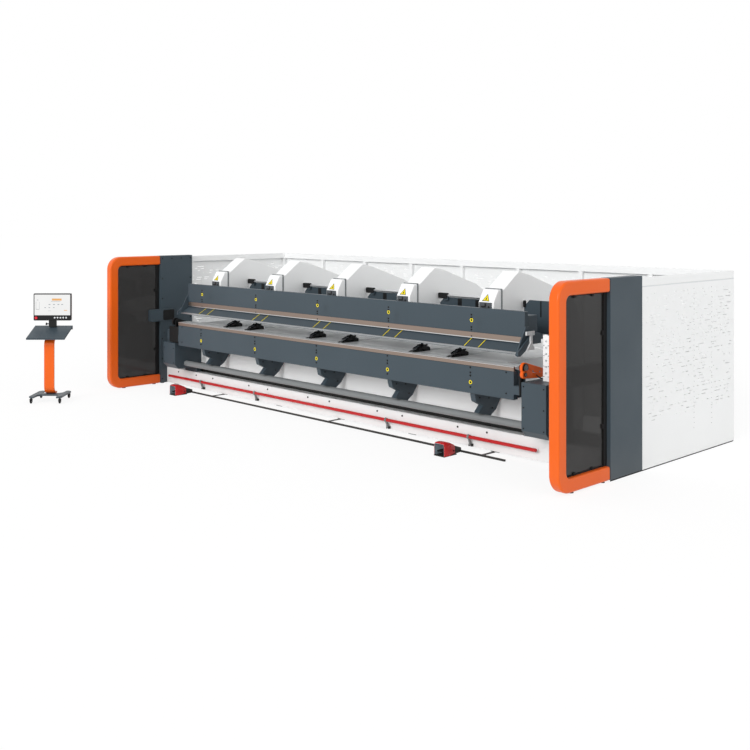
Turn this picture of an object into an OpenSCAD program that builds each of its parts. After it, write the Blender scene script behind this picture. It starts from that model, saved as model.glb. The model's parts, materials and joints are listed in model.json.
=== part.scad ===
/* [Enclosure] */
// Length over both side guards
machine_len = 8454; // [8300:2:9000]
// Depth from the guard front to the back wall
machine_depth = 3540; // [3500:10:3800]
// Room at each end for a drive, a column and a guard
end_room = 1027; // [1020:1:1060]
// Height of the guards and columns
machine_h = 2050; // [2050:5:2300]
// Drop of the walls' top rails below the columns' tops
wall_drop = 20; // [10:5:60]
// Thickness of a side guard and its column
guard_t = 120; // [80:5:150]
// Gap under the guards and walls
floor_gap = 15; // [10:1:25]
// Depth of a guard, front to column
guard_len = 890; // [860:5:950]
// Width of the guard's frame bar
guard_bar = 140; // [90:5:160]
// Outer corner radius of a guard
guard_outer_r = 190; // [150:5:220]
// Inner corner radius of a guard
guard_inner_r = 70; // [40:5:100]
// Depth of a slate column along the side
column_len = 600; // [500:5:650]
// Thickness of a smoked pane
pane_t = 10; // [6:1:16]
// Thickness of a perforated wall sheet
sheet_t = 6; // [4:1:12]
// Side of an enclosure post
post_w = 60; // [40:5:80]
// Height of the enclosure's top rail
rail_h = 90; // [60:5:120]
// Number of back wall bays
back_bays = 8; // [6:1:9]

/* [Stations] */
// Distance of the end C-frames from the beams' ends
frame_inset = 600; // [560:10:640]
// Width of a C-frame
frame_w = 230; // [180:5:260]
// Front face of a C-frame's upper arm
arm_front = -715; // [-715:1:-700]
// Back of the throat between the arms
throat_back = 420; // [330:5:450]
// Lowest point of a C-frame's upper arm
arm_low = 1330; // [1330:5:1400]
// Highest point of a C-frame
frame_peak = 2042; // [2000:2:2042]

/* [Beams] */
// Position of the bend line in front of the machine's middle
bend_y = -1110; // [-1112:1:-1108]
// Height of the bend line and the table
bend_z = 1074; // [1070:1:1076]
// Opening of the clamp at rest
clamp_open = 128; // [125:1:150]
// Height of the lower folding beam
lower_fold_h = 354; // [340:2:354]
// Thickness of the lower folding beam below its tool
lower_fold_t = 70; // [50:1:70]
// Thickness of a folding tool
tool_t = 26; // [16:1:30]
// Height of the lower folding tool
lower_tool_h = 50; // [40:1:50]
// Height of the upper folding beam with its tool
upper_fold_h = 342; // [320:2:360]
// Thickness of the upper folding beam
upper_fold_t = 57; // [40:1:57]
// Distance of the upper folding beam behind the nose tip
upper_fold_back = 148; // [148:1:152]
// Height of the upper folding edge above the nose tip
upper_fold_up = 104; // [104:1:120]
// Height of the upper folding tool
upper_tool_h = 68; // [50:1:80]
// Slope of the clamp nose above level
nose_slope = 30; // [28:0.5:32]
// Thickness of the clamp nose plate
nose_t = 14; // [8:1:14]
// Radius of the folding beams' hinge pins
pin_r = 12; // [8:0.5:14]
// Running clearance of a pin, on radius
pin_gap = 0.05; // [0.03:0.01:0.1]

/* [Clamp beam] */
// Top of the clamp beam's box
clamp_top = 1600; // [1580:5:1620]
// Back face of the upright shields between the C-frames
shield_y = -329; // [-340:1:-320]
// Top of a shield between two C-frames
shield_top = 1680; // [1660:2:1684]
// Top of a shield at the machine's end
end_shield_top = 1716; // [1690:2:1730]
// Width of an arm head
head_w = 220; // [180:5:230]
// Height of an arm head's top
head_top = 1850; // [1800:5:1860]

/* [Base] */
// Height of the base beam's top
base_top = 263; // [240:2:280]
// Front face of the base beam
base_front = -758; // [-765:1:-745]
// Radius of the front tube
tube_r = 42; // [30:1:46]
// Radius of the red trip bar
trip_r = 20; // [12:0.5:22]

/* [Back gauge] */
// Width of a gripper
gripper_w = 100; // [80:2:120]
// Height of a gripper above the table
gripper_h = 80; // [60:2:80]
// Length of a gripper
gripper_len = 275; // [250:5:300]

/* [Pedals] */
// Width of a foot switch's hood
pedal_w = 160; // [140:2:180]
// Depth of a foot switch's hood
pedal_len = 210; // [180:5:240]
// Height of a foot switch
pedal_h = 157; // [140:2:170]

/* [Console] */
// Distance of the console from the machine's left end
console_in = 297; // [230:5:330]
// Position of the console across the machine
console_y = -2840; // [-2900:5:-2780]
// Turn of the console towards the operator
console_yaw = 46; // [0:1:90]
// Height of the console's column top
column_top = 930; // [880:5:980]
// Width of the screen housing
monitor_w = 550; // [480:5:600]
// Height of the screen housing
monitor_h = 396; // [300:2:420]
// Radius of a caster wheel
caster_r = 30; // [25:1:36]

/* [Hidden] */
$fn = 48;

station_n = 5;
half_len = machine_len/2;
beam_len = machine_len - 2*end_room;
beam_x = beam_len/2;
station_pitch = (beam_len - 2*frame_inset)/(station_n - 1);
stations = [for (i = [0:station_n - 1]) (i - (station_n - 1)/2)*station_pitch];
inner_x = half_len - guard_t;
front_y = -machine_depth/2;
back_y = machine_depth/2;
column_y = front_y + guard_len;
wall_y = column_y + column_len;
wall_h = machine_h - wall_drop;
seat = 0.3;
run = 8;
eps = 1;

// Clamp, measured from the nose tip
tip_in = 8;
tip_y = bend_y + tip_in;
tip_z = bend_z + clamp_open;
tip_h = 4;
tip_flat = 24;
nose_rise = tan(nose_slope);
guide_gap = 7;
beam_clear = 12;
clamp_back = arm_front - guide_gap;
clamp_front = tip_y + upper_fold_back + upper_fold_t + beam_clear;
nose_top = tip_z + tip_h + (clamp_front - tip_y)*nose_rise;
clamp_drop = 34;
clamp_low = nose_top - clamp_drop;
head_back = 150;
head_bevel = [80, 140];
guide_w = 160;
guide_low = 70;
guide_high = 240;

// Shields behind the clamp beam, each on its shelf, and the rods along their tops
shield_gap = 15;
shield_t = 12;
shield_cut = [76, 73];
shelf_low = 1330;
shelf_t = 20;
rod_r = 15;
rod_lift = 20;
rod_block = [120, 50, 30];
rod_drop = 70;
rod_y = shield_y - shield_t - rod_block.z/2;
rod_z = shield_top + rod_lift;
shield_x0 = [for (i = [0:station_n]) i == 0 ? -beam_x : stations[i - 1] + frame_w/2 + shield_gap];
shield_x1 = [for (i = [0:station_n]) i == station_n ? beam_x : stations[i] - frame_w/2 - shield_gap];
shield_tops = [for (i = [0:station_n]) i == 0 || i == station_n ? end_shield_top : shield_top];

// Ends of the folding beams
arm_x = 70;
arm_drop = 200;
ear_t = 20;
ear_r = 30;
ear_back = 14;
arm_rise = 60;
upper_ear_t = 16;
upper_ear_r = 16;
upper_ear_h = 180;
upper_ear_neck = [12, 14];
bracket_t = 20;
ear_in = beam_x + run;
bracket_in = ear_in + upper_ear_t + run;
bracket_nose = [26, 18];
bracket_h = 110;
bracket_bore = 100;
pin_len = 40;
ear_x = beam_x + arm_x;

// Base and lower structure
jaw_front = -930;
jaw_low = 735;
table_t = 30;
table_low = bend_z - table_t;
table_clear = 120;
table_back = throat_back - table_clear;
table_in = 250;
table_x = beam_x - table_in;
tool_lip = 24;
tool_seat = 43;
jaw_gap = 10;
lower_front = bend_y + lower_fold_t - tool_t + jaw_gap;
base_back = -560;
base_low = 20;
lip = [40, 20];
foot_w = 120;
foot_inset = 200;
foot_set = 45;
ledge = 115;
channel_top = 385;
tube_y = -930;
tube_z = 420;
support_w = 70;
chute_t = 6;
chute_back = -628;
// Lower edge of a support bracket: distance behind the bend line, and drop below the beam
support_edge = [[5, 24], [29, 111], [148, 168], [71, 246], [285, 301], [377, 241], [469, 120]];

// C-frames: the upper arm's outline as distance behind its front and drop below the peak
arm_outline = [[0, 215], [19, 195], [204, 61], [297, 0], [469, 35], [1102, 244], [1415, 420], [1575, 720]];
frame_back = 860;
neck_low = 600;
neck_front = -620;
throat_round = 90;
arm_chamfer = 60;
window = [[-380, 250], [600, 780]];
window_r = 90;
frame_foot_w = 140;
rear_foot = frame_back - frame_foot_w;

// Back gauge: each gripper's C-frame and its distance from it
gripper_at = [[0, 500], [1, -290], [2, -250], [2, 380], [3, 330], [4, -370]];
gripper_x = [for (g = gripper_at) stations[g[0]] + g[1]];
gripper_in = 37;
gripper_front = tip_y + gripper_in;
gripper_nose = 8;
gripper_ramp = 130;
gripper_cut = [36, 70];
neck_w = 24;
neck_len = 56;
neck_in = 70;
neck_y = gripper_front + gripper_len - neck_in;
travel = 900;
slot_end = 6;
slot_w = neck_w + 2*slot_end;
rail_w = 40;
rail_drop = 90;
rail_web = 20;
rail_foot = 40;
rail_lead = 50;
carriage_w = 80;
carriage_drop = 42;
carriage_len = 90;

// Drives at the beam ends
box_clear = 10;
box_room = 607;
box_x0 = ear_x + ear_t + box_clear;
box_w = half_len - box_x0 - box_room;
box_top = 926;
box_low = 345;
box_front = -1136;
box_chamfer = 70;
box_gap = 7;
box_foot = 18;
box_back = base_front + ledge - box_gap;
box_stand = base_front + box_foot;
cover_w = 160;
cover_t = 56;
cover_gap = 16;
cover_low = 757;
cover_top = 975;
step_gap = 12;
lever_t = 34;
lever_r = 58;
lever_reach = [90, 320];
lever_back_h = 90;
link_at = [-11, -68];
link_r = 44;
strip_x = [123, 203];
strip_y = [-920, -908];
strip_top = 1420;
strip_hole_r = 12;
strip_hole_z = 1010;
strip_pitch = 68;
strip_holes = 6;

// Trip bar and pedals
trip_y = -820;
trip_z = 145;
trip_pin = [-785, 45];
trip_pin_r = 6;
trip_eye_r = 13;
trip_in = 277;
trip_past = 60;
trip_x0 = -half_len + trip_in;
trip_x1 = beam_x + trip_past;
trip_share = [-0.478, -0.268, 0.15, 0.36];
trip_at = [for (f = trip_share) f*beam_len];
trip_arm = 20;
// Web of a trip arm, from its pin to the bar
trip_web = [[-11, -2], [11, 4], [11, 4], [-11, -2]];
cheek_t = 10;
cheek_r = 14;
cheek_x = trip_arm/2 + eps;
floor_rail_in = [100, 240];
floor_rail_x = [-beam_x + floor_rail_in[0], beam_x - floor_rail_in[1]];
floor_rail_y = -990;
floor_rail_w = 24;
floor_rail_h = 22;
tie_w = 40;
tie_h = 8;
pedal_in = [120, 900];
pedal_x = [-beam_x + pedal_in[0], beam_x - pedal_in[1]];
pedal_front = -1320;
pedal_back = pedal_front + pedal_len;
shell_t = 6;
sole_t = 12;
hood_lip = 40;
hood_lean = 10;
hood_drop = [50, 40];
hood_heel = 100;
arm_w = 100;
arm_h = 30;
mouth_depth = 20;
treadle_gap = 6;
pin_in = 30;
pin_rise = 46;
treadle_pin = [pedal_back - pin_in, pin_rise];
treadle_pin_r = 5;
treadle_len = 140;
treadle_z = [40, 52];
treadle_heel = [10, 8];

// Console, drawn facing -Y and then turned
console_x = -half_len + console_in;
console_w = 470;
console_d = 510;
rail_side = 60;
deck = 80;
deck_t = 25;
plate_t = 25;
mast_w = 145;
mast_front = -60;
mast_back = 90;
mast_r = 120;
caster_in = [30, 35];
caster_w = 24;
fork = [20, 18];
shelf_w = 550;
shelf_d = 400;
tray_t = 22;
shelf_front = -230;
shelf_rise = 140;
shelf_lap = 17;
shelf_pad = [-20, 80];
monitor_low = 1156;
monitor_y = [90, 130];
neck_depth = 30;
neck_half = 40;
neck_lap = 150;
// Underside of the sloping shelf at distance y behind the mast
function shelf_under(y) = column_top - shelf_lap + (y - shelf_front)*shelf_rise/shelf_d;

// A plate whose outline lies in the YZ plane, from x to x + t
module yz_plate(x, t) translate([x, 0, 0]) rotate([90, 0, 90]) linear_extrude(t) children();
// A box given by its two corners
module block(a, b) translate(a) cube(b - a);
// A round bar along X
module x_rod(x, y, z, r, l) translate([x, y, z]) rotate([0, 90, 0]) cylinder(r = r, h = l);
// A flat rectangle with round corners
module rounded(a, b, r) union() {
    translate([a.x + r, a.y]) square([b.x - a.x - 2*r, b.y - a.y]);
    translate([a.x, a.y + r]) square([b.x - a.x, b.y - a.y - 2*r]);
    for (x = [a.x + r, b.x - r], y = [a.y + r, b.y - r]) translate([x, y]) circle(r);
}

// Base and lower structure
module base_beam() color("whitesmoke") yz_plate(-inner_x, 2*inner_x) polygon([
    [base_front, base_low], [base_front, base_top], [base_back, base_top], [base_back, base_low],
    [base_back - lip.x, base_low], [base_back - lip.x, base_low + lip.y],
    [base_front + lip.x, base_low + lip.y], [base_front + lip.x, base_low]]);
module base_feet() color("dimgray")
    for (s = [-inner_x + foot_inset, each stations, inner_x - foot_inset])
        block([s - foot_w/2, base_front + foot_set, 0], [s + foot_w/2, base_back, base_low]);
module frame_feet() color("dimgray")
    for (s = stations, y = [base_back + base_low, -foot_w/2, rear_foot])
        block([s - frame_foot_w/2, y, 0], [s + frame_foot_w/2, y + foot_w, base_low]);
module base_channel() color("black")
    block([-inner_x, base_front + ledge, base_top], [inner_x, base_back, channel_top]);
module front_tube() color("gray") x_rod(-box_x0, tube_y, tube_z, tube_r, 2*box_x0);
module support_brackets() color("darkslategray") for (s = stations) difference() {
    yz_plate(s - support_w/2, support_w) polygon(concat(
        [for (p = support_edge) [bend_y + p.x, jaw_low - p.y]],
        [[bend_y + support_edge[6].x, jaw_low], [lower_front, jaw_low], [lower_front, jaw_low - tool_lip]]));
    x_rod(s - support_w, tube_y, tube_z, tube_r + seat, 2*support_w);
}
module scrap_chute() color("white") yz_plate(-beam_x, beam_len) polygon([
    [chute_back, jaw_low], [base_front + ledge, channel_top],
    [base_front + ledge + chute_t, channel_top], [chute_back + chute_t, jaw_low]]);
module lower_clamp_beam() color("slategray")
    block([-beam_x, lower_front, jaw_low], [beam_x, jaw_front, bend_z - tool_seat]);
module lower_clamp_tool() color("silver") yz_plate(-beam_x, beam_len) polygon([
    [bend_y + run, bend_z], [bend_y + run, bend_z - tool_lip], [lower_front, bend_z - tool_seat],
    [jaw_front, bend_z - tool_seat], [jaw_front, bend_z]]);
module support_table() color("whitesmoke") difference() {
    block([-table_x, jaw_front, table_low], [table_x, table_back, bend_z]);
    for (x = gripper_x) block([x - slot_w/2, neck_y - slot_end, table_low - eps],
        [x + slot_w/2, neck_y + travel + neck_len + slot_end, bend_z + eps]);
}
module gauge_rails() color("dimgray") for (x = gripper_x) yz_plate(x - rail_w/2, rail_w) difference() {
    polygon([[neck_y - rail_lead, table_low], [neck_y - rail_lead, table_low - rail_drop],
        [table_back, table_low - rail_drop], [table_back, table_low]]);
    polygon([[neck_y - rail_lead + rail_web, table_low + eps],
        [neck_y - rail_lead + rail_web, table_low - rail_drop + rail_foot],
        [table_back - rail_web, table_low - rail_drop + rail_foot],
        [table_back - rail_web, table_low + eps]]);
}

// One C-frame: foot, column, lower jaw under the table and upper arm over the throat
module c_frame(i) color("white") difference() {
    yz_plate(stations[i] - frame_w/2, frame_w) polygon(concat(
        [[base_back, base_low], [base_back, neck_low], [neck_front, jaw_low], [jaw_front, jaw_low],
            [jaw_front, table_low], [throat_back, table_low], [throat_back, arm_low + throat_round],
            [throat_back - throat_round, arm_low], [arm_front + arm_chamfer, arm_low],
            [arm_front, arm_low + arm_chamfer]],
        [for (p = arm_outline) [arm_front + p.x, frame_peak - p.y]], [[frame_back, base_low]]));
    yz_plate(stations[i] - frame_w/2 - eps, frame_w + 2*eps) rounded(window[0], window[1], window_r);
}
module clamp_guides() color("silver") for (s = stations)
    block([s - guide_w/2, clamp_back + seat, arm_low + guide_low],
        [s + guide_w/2, arm_front, frame_peak - guide_high]);

// Guards, columns and perforated walls
module guard_hole() rounded([front_y + guard_bar, floor_gap + guard_bar],
    [column_y + guard_outer_r, machine_h - guard_bar], guard_inner_r);
module guard_frame(x) color("darkorange") yz_plate(x, guard_t) difference() {
    intersection() {
        rounded([front_y, floor_gap], [column_y + 2*guard_outer_r, machine_h], guard_outer_r);
        translate([front_y - eps, 0]) square([guard_len + eps, machine_h + eps]);
    }
    guard_hole();
}
module guard_pane(x) color("dimgray") yz_plate(x + (guard_t - pane_t)/2, pane_t) intersection() {
    guard_hole();
    translate([front_y, 0]) square([guard_len, machine_h]);
}
module side_column(x) color("darkslategray")
    block([x, column_y, floor_gap], [x + guard_t, wall_y, machine_h]);
module side_wall(x) color("white")
    block([x, wall_y, floor_gap], [x + sheet_t, back_y, wall_h - rail_h]);
module rear_wall() color("white") block([-half_len + sheet_t, back_y - sheet_t, floor_gap],
    [half_len - sheet_t, back_y, wall_h - rail_h]);
module side_rail(x) color("white") block([x, wall_y, wall_h - rail_h], [x + post_w, back_y, wall_h]);
module rear_top_rail() color("white") block([-half_len + post_w, back_y - post_w, wall_h - rail_h],
    [half_len - post_w, back_y, wall_h]);
bay = (machine_len - 2*sheet_t - post_w)/back_bays;
module wall_posts() color("white") {
    for (i = [0:back_bays]) translate([-half_len + sheet_t + i*bay, back_y - sheet_t - post_w, 0])
        cube([post_w, post_w, wall_h - rail_h]);
    for (x = [-half_len + sheet_t, half_len - sheet_t - post_w], y = [wall_y, (wall_y + back_y)/2])
        translate([x, y, 0]) cube([post_w, post_w, wall_h - rail_h]);
}

// A drive box stands on the base beam's ledge; step is the height of its front part
module drive_box(x, step) color("darkslategray") yz_plate(x, box_w) polygon([
    [box_front, step], [box_front, box_low + box_chamfer], [box_front + box_chamfer, box_low],
    [box_stand, box_low], [box_stand, base_top], [box_back, base_top], [box_back, box_top],
    [box_front + cover_t + cover_gap, box_top], [box_front + cover_t + cover_gap, step]]);
module bearing_outline() union() {
    translate([bend_y, bend_z]) circle(lever_r);
    polygon([[bend_y, bend_z + lever_r], [bend_y, bend_z - lever_r], [bend_y + lever_reach[0], box_top],
        [bend_y + lever_reach[1], box_top], [bend_y + lever_reach[1], box_top + lever_back_h]]);
}
module left_bearing() color("dimgray") difference() {
    yz_plate(-box_x0 - lever_t, lever_t) bearing_outline();
    x_rod(-box_x0 - lever_t - eps, bend_y, bend_z, pin_r + pin_gap, lever_t + 2*eps);
}
module drive_levers() color("darkorange") difference() {
    yz_plate(box_x0, lever_t) union() {
        bearing_outline();
        translate([bend_y + link_at.x, bend_z + link_at.y]) circle(link_r);
        polygon([[bend_y + link_at.x, bend_z + link_at.y + link_r], [bend_y + link_at.x,
            bend_z + link_at.y - link_r], [bend_y + lever_reach[1], bend_z + link_at.y - link_r],
            [bend_y + lever_reach[1], bend_z + link_at.y + link_r]]);
    }
    x_rod(box_x0 - eps, bend_y, bend_z, pin_r + pin_gap, lever_t + 2*eps);
}
module hole_strip() color("white") difference() {
    block([box_x0 + strip_x[0], strip_y[0], box_top], [box_x0 + strip_x[1], strip_y[1], strip_top]);
    for (i = [0:strip_holes - 1]) translate([box_x0 + (strip_x[0] + strip_x[1])/2, strip_y[1] + eps,
        strip_hole_z + i*strip_pitch]) rotate([90, 0, 0])
            cylinder(r = strip_hole_r, h = strip_y[1] - strip_y[0] + 2*eps);
}

// Floor rail, trip bar brackets and pedal hoods
module floor_rail() color("dimgray") {
    block([floor_rail_x[0], floor_rail_y, 0], [floor_rail_x[1], floor_rail_y + floor_rail_w, floor_rail_h]);
    for (s = [stations[0], stations[2], stations[4]])
        block([s - tie_w/2, floor_rail_y + floor_rail_w, 0], [s + tie_w/2, base_front + foot_set, tie_h]);
}
module trip_brackets() color("silver") for (s = trip_at) {
    for (x = [s - cheek_x - cheek_t, s + cheek_x])
        block([x, trip_pin.x - cheek_r, trip_pin.y - cheek_r],
            [x + cheek_t, base_front, trip_pin.y + cheek_r]);
    x_rod(s - cheek_x, trip_pin.x, trip_pin.y, trip_pin_r, 2*cheek_x);
}
module pedal_hoods() color("firebrick") for (x = pedal_x) difference() {
    union() {
        yz_plate(x - pedal_w/2, pedal_w) polygon([[pedal_front, 0], [pedal_front, sole_t],
            [pedal_front + hood_lip, sole_t], [pedal_front + hood_lean, pedal_h - hood_drop[0]],
            [pedal_front + hood_lip, pedal_h], [pedal_back - hood_drop[1], pedal_h],
            [pedal_back, hood_heel], [pedal_back, 0]]);
        yz_plate(x - arm_w/2, arm_w) polygon([[pedal_back - eps, 0], [pedal_back - eps, hood_heel],
            [pedal_back, hood_heel], [floor_rail_y, arm_h], [floor_rail_y, 0]]);
    }
    block([x - pedal_w/2 + shell_t, pedal_front - eps, sole_t],
        [x + pedal_w/2 - shell_t, treadle_pin.x + mouth_depth, pedal_h - hood_drop[1]]);
}
module treadle(x) color("dimgray") {
    yz_plate(x - pedal_w/2 + shell_t + treadle_gap, pedal_w - 2*shell_t - 2*treadle_gap) polygon([
        [treadle_pin.x - treadle_len, treadle_z[0]], [treadle_pin.x - treadle_len, treadle_z[1]],
        [treadle_pin.x, treadle_pin.y + treadle_heel[0]], [treadle_pin.x + treadle_heel[1], treadle_pin.y],
        [treadle_pin.x, treadle_pin.y - treadle_heel[1]]]);
    x_rod(x - pedal_w/2 + shell_t + seat, treadle_pin.x, treadle_pin.y, treadle_pin_r,
        pedal_w - 2*shell_t - 2*seat);
}

// Console
module at_console() translate([console_x, console_y, 0]) rotate([0, 0, console_yaw]) children();
module console_base() color("darkslategray") at_console() union() {
    for (x = [-console_w/2, console_w/2 - rail_side])
        block([x, -console_d/2, deck], [x + rail_side, console_d/2, deck + deck_t]);
    block([-console_w/2, -rail_side, deck], [console_w/2, rail_side, deck + deck_t]);
}
module console_casters() color("black") at_console()
    for (x = [-1, 1]*(console_w/2 - caster_in.x), y = [-1, 1]*(console_d/2 - caster_in.y)) {
        x_rod(x - caster_w/2, y, caster_r, caster_r, caster_w);
        block([x - fork.x, y - fork.y, caster_r], [x + fork.x, y + fork.y, deck]);
    }
module console_column() color("darkorange") at_console() yz_plate(-mast_w/2, mast_w) intersection() {
    difference() {
        rounded([mast_front, deck + deck_t], [mast_back + 2*mast_r, column_top], mast_r);
        rounded([mast_front + plate_t, deck + deck_t + plate_t],
            [mast_back + 2*mast_r, column_top - plate_t], mast_r - plate_t);
    }
    translate([mast_front, 0]) square([mast_back - mast_front, column_top]);
}
module console_shelf() color("darkslategray") at_console() {
    yz_plate(-shelf_w/2, shelf_w) polygon([for (p = [[shelf_front, tray_t],
        [shelf_front + shelf_d, tray_t], [shelf_front + shelf_d, 0], [shelf_front, 0]])
            [p.x, shelf_under(p.x) + p.y]]);
    yz_plate(-mast_w/2, mast_w) polygon([[shelf_pad[0], column_top], [shelf_pad[1], column_top],
        [shelf_pad[1], shelf_under(shelf_pad[1])], [shelf_pad[0], shelf_under(shelf_pad[0])]]);
}
module console_monitor() color("black") at_console() {
    block([-monitor_w/2, monitor_y[0], monitor_low], [monitor_w/2, monitor_y[1], monitor_low + monitor_h]);
    yz_plate(-neck_half, 2*neck_half) polygon([
        [monitor_y[1], shelf_under(monitor_y[1]) + tray_t],
        [monitor_y[1] + neck_depth, shelf_under(monitor_y[1] + neck_depth) + tray_t],
        [monitor_y[1] + neck_depth, monitor_low + neck_lap], [monitor_y[1], monitor_low + neck_lap]]);
}

// Clamp, which travels up and down
module upper_clamp_beam() color("darkslategray")
    block([-beam_x, clamp_front, clamp_low], [beam_x, clamp_back, clamp_top]);
// One shield in each space beside the C-frames: a shelf, and an upright plate with a cut corner
module clamp_shields() color("darkslategray") for (i = [0:station_n]) {
    block([shield_x0[i], clamp_back, shelf_low], [shield_x1[i], shield_y - shield_t, shelf_low + shelf_t]);
    translate([0, shield_y, 0]) rotate([90, 0, 0]) linear_extrude(shield_t) polygon([
        [shield_x0[i], shelf_low], [shield_x0[i], shield_tops[i] - shield_cut.y],
        [shield_x0[i] + shield_cut.x, shield_tops[i]], [shield_x1[i], shield_tops[i]],
        [shield_x1[i], shelf_low]]);
}
module clamp_nose() color("slategray") yz_plate(-beam_x, beam_len) polygon([[tip_y, tip_z],
    [tip_y + tip_flat, tip_z], [clamp_front, nose_top - nose_t], [clamp_front, nose_top],
    [tip_y, tip_z + tip_h]]);
module arm_heads() color("white") for (s = stations) yz_plate(s - head_w/2, head_w) polygon([
    [clamp_back - head_back, clamp_top + seat], [clamp_back - head_back, head_top - head_bevel.y],
    [clamp_back - head_back + head_bevel.x, head_top], [clamp_back, head_top],
    [clamp_back, clamp_top + seat]]);
// A rod along each shield's top, held by a block at either end
module clamp_rods() color("silver") for (i = [1:station_n - 1]) {
    x_rod(shield_x0[i] + rod_block.x - eps, rod_y, rod_z, rod_r, shield_x1[i] - shield_x0[i] - rod_block.x);
    for (x = [[shield_x0[i], rod_block.x], [shield_x1[i] - rod_block.y, rod_block.y]])
        block([x[0], shield_y - shield_t - rod_block.z, shield_top - rod_drop],
            [x[0] + x[1], shield_y - shield_t, rod_z + rod_r]);
}
module upper_end_brackets() color("silver") for (side = [0, 1]) mirror([side, 0, 0]) {
    difference() {
        yz_plate(bracket_in, bracket_t) polygon([[tip_y - bracket_nose.x, tip_z - bracket_nose.y],
            [tip_y + upper_ear_r, tip_z - bracket_nose.y], [clamp_front, clamp_low],
            [clamp_back, clamp_low], [clamp_back, clamp_low + bracket_h],
            [clamp_front + tip_h, clamp_low + bracket_h], [tip_y - bracket_nose.x, tip_z + bracket_nose.x]]);
        x_rod(beam_x, tip_y, tip_z, pin_r + pin_gap, bracket_bore);
    }
    block([beam_x, clamp_front + nose_t, clamp_low], [bracket_in, clamp_back, clamp_low + bracket_h]);
}

// Upper folding beam, hinged at the nose tip
fold_y = tip_y + upper_fold_back;
fold_z = tip_z + upper_fold_up;
upper_tool_in = 12;
ear_drop = 10;
upper_tool_t = upper_fold_t - upper_tool_in;
module upper_folding_beam() color("darkslategray") union() {
    block([-ear_in, fold_y, fold_z + upper_tool_h], [ear_in, fold_y + upper_fold_t, fold_z + upper_fold_h]);
    for (side = [0, 1]) mirror([side, 0, 0]) {
        yz_plate(ear_in - eps, upper_ear_t + eps) union() {
            translate([tip_y, tip_z]) circle(upper_ear_r);
            polygon([[tip_y - run, tip_z + upper_ear_neck.y], [tip_y + upper_ear_neck.x, tip_z - ear_drop],
                [fold_y + upper_fold_t, fold_z - ear_drop], [fold_y + upper_fold_t, fold_z + upper_ear_h],
                [fold_y, fold_z + upper_ear_h]]);
        }
        x_rod(ear_in + upper_ear_t - eps, tip_y, tip_z, pin_r,
            bracket_in + bracket_t - ear_in - upper_ear_t + eps);
    }
}
module upper_folding_tool() color("rosybrown") yz_plate(-beam_x, beam_len) polygon([
    [fold_y, fold_z], [fold_y, fold_z + upper_tool_h], [fold_y + upper_tool_t, fold_z + upper_tool_h],
    [fold_y + upper_tool_t, fold_z + upper_tool_t*nose_rise]]);

// Lower folding beam, hinged at the bend line
lower_y = bend_y - tool_t;
lower_low = bend_z - lower_fold_h;
module lower_folding_beam() color("darkslategray") union() {
    block([-beam_x, lower_y, lower_low], [beam_x, lower_y + lower_fold_t, bend_z - lower_tool_h]);
    for (side = [0, 1]) mirror([side, 0, 0]) block([beam_x - eps, lower_y, lower_low + arm_rise],
        [ear_x, lower_y + lower_fold_t, bend_z - arm_drop]);
}
// End plates of the lower folding beam, each with its hinge pin
module lower_end_ears() color("darkslategray") for (side = [0, 1]) mirror([side, 0, 0]) {
    yz_plate(ear_x, ear_t) union() {
        translate([bend_y, bend_z]) circle(ear_r);
        translate([lower_y, lower_low + arm_rise])
            square([lower_fold_t - ear_back, lower_fold_h - arm_rise]);
    }
    x_rod(ear_x + ear_t - eps, bend_y, bend_z, pin_r, pin_len + eps);
}
module lower_folding_tool() color("rosybrown") block([-beam_x, lower_y, bend_z - lower_tool_h],
    [beam_x, bend_y, bend_z]);
module left_arm_cover() color("black") block([-ear_x - ear_t - cover_w, lower_y, cover_low],
    [-ear_x - ear_t, lower_y + cover_t, cover_top]);

// Back gauge
module gauge_carriages() color("dimgray") for (x = gripper_x) union() {
    block([x - neck_w/2, neck_y, table_low - carriage_drop],
        [x + neck_w/2, neck_y + neck_len, bend_z + seat]);
    block([x - carriage_w/2, neck_y - slot_end, table_low - rail_drop + rail_foot + seat],
        [x + carriage_w/2, neck_y - slot_end + carriage_len, table_low - seat]);
}
module grippers() color("black") for (x = gripper_x) difference() {
    yz_plate(x - gripper_w/2, gripper_w) polygon([[gripper_front, bend_z + seat],
        [gripper_front, bend_z + gripper_nose], [gripper_front + gripper_ramp, bend_z + gripper_h],
        [gripper_front + gripper_len, bend_z + gripper_h], [gripper_front + gripper_len, bend_z + seat]]);
    block([x - gripper_cut.x/2, gripper_front - eps, bend_z - eps],
        [x + gripper_cut.x/2, gripper_front + gripper_cut.y, bend_z + gripper_h + eps]);
}

// Trip bar
module trip_bar() color("red") union() {
    x_rod(trip_x0, trip_y, trip_z, trip_r, trip_x1 - trip_x0);
    for (s = trip_at) difference() {
        yz_plate(s - trip_arm/2, trip_arm) union() {
            translate([trip_pin.x, trip_pin.y]) circle(trip_eye_r);
            polygon([trip_pin + trip_web[0], trip_pin + trip_web[1], [trip_y, trip_z] + trip_web[2],
                [trip_y, trip_z] + trip_web[3]]);
        }
        x_rod(s - trip_arm, trip_pin.x, trip_pin.y, trip_pin_r + pin_gap, 2*trip_arm);
    }
}

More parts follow.
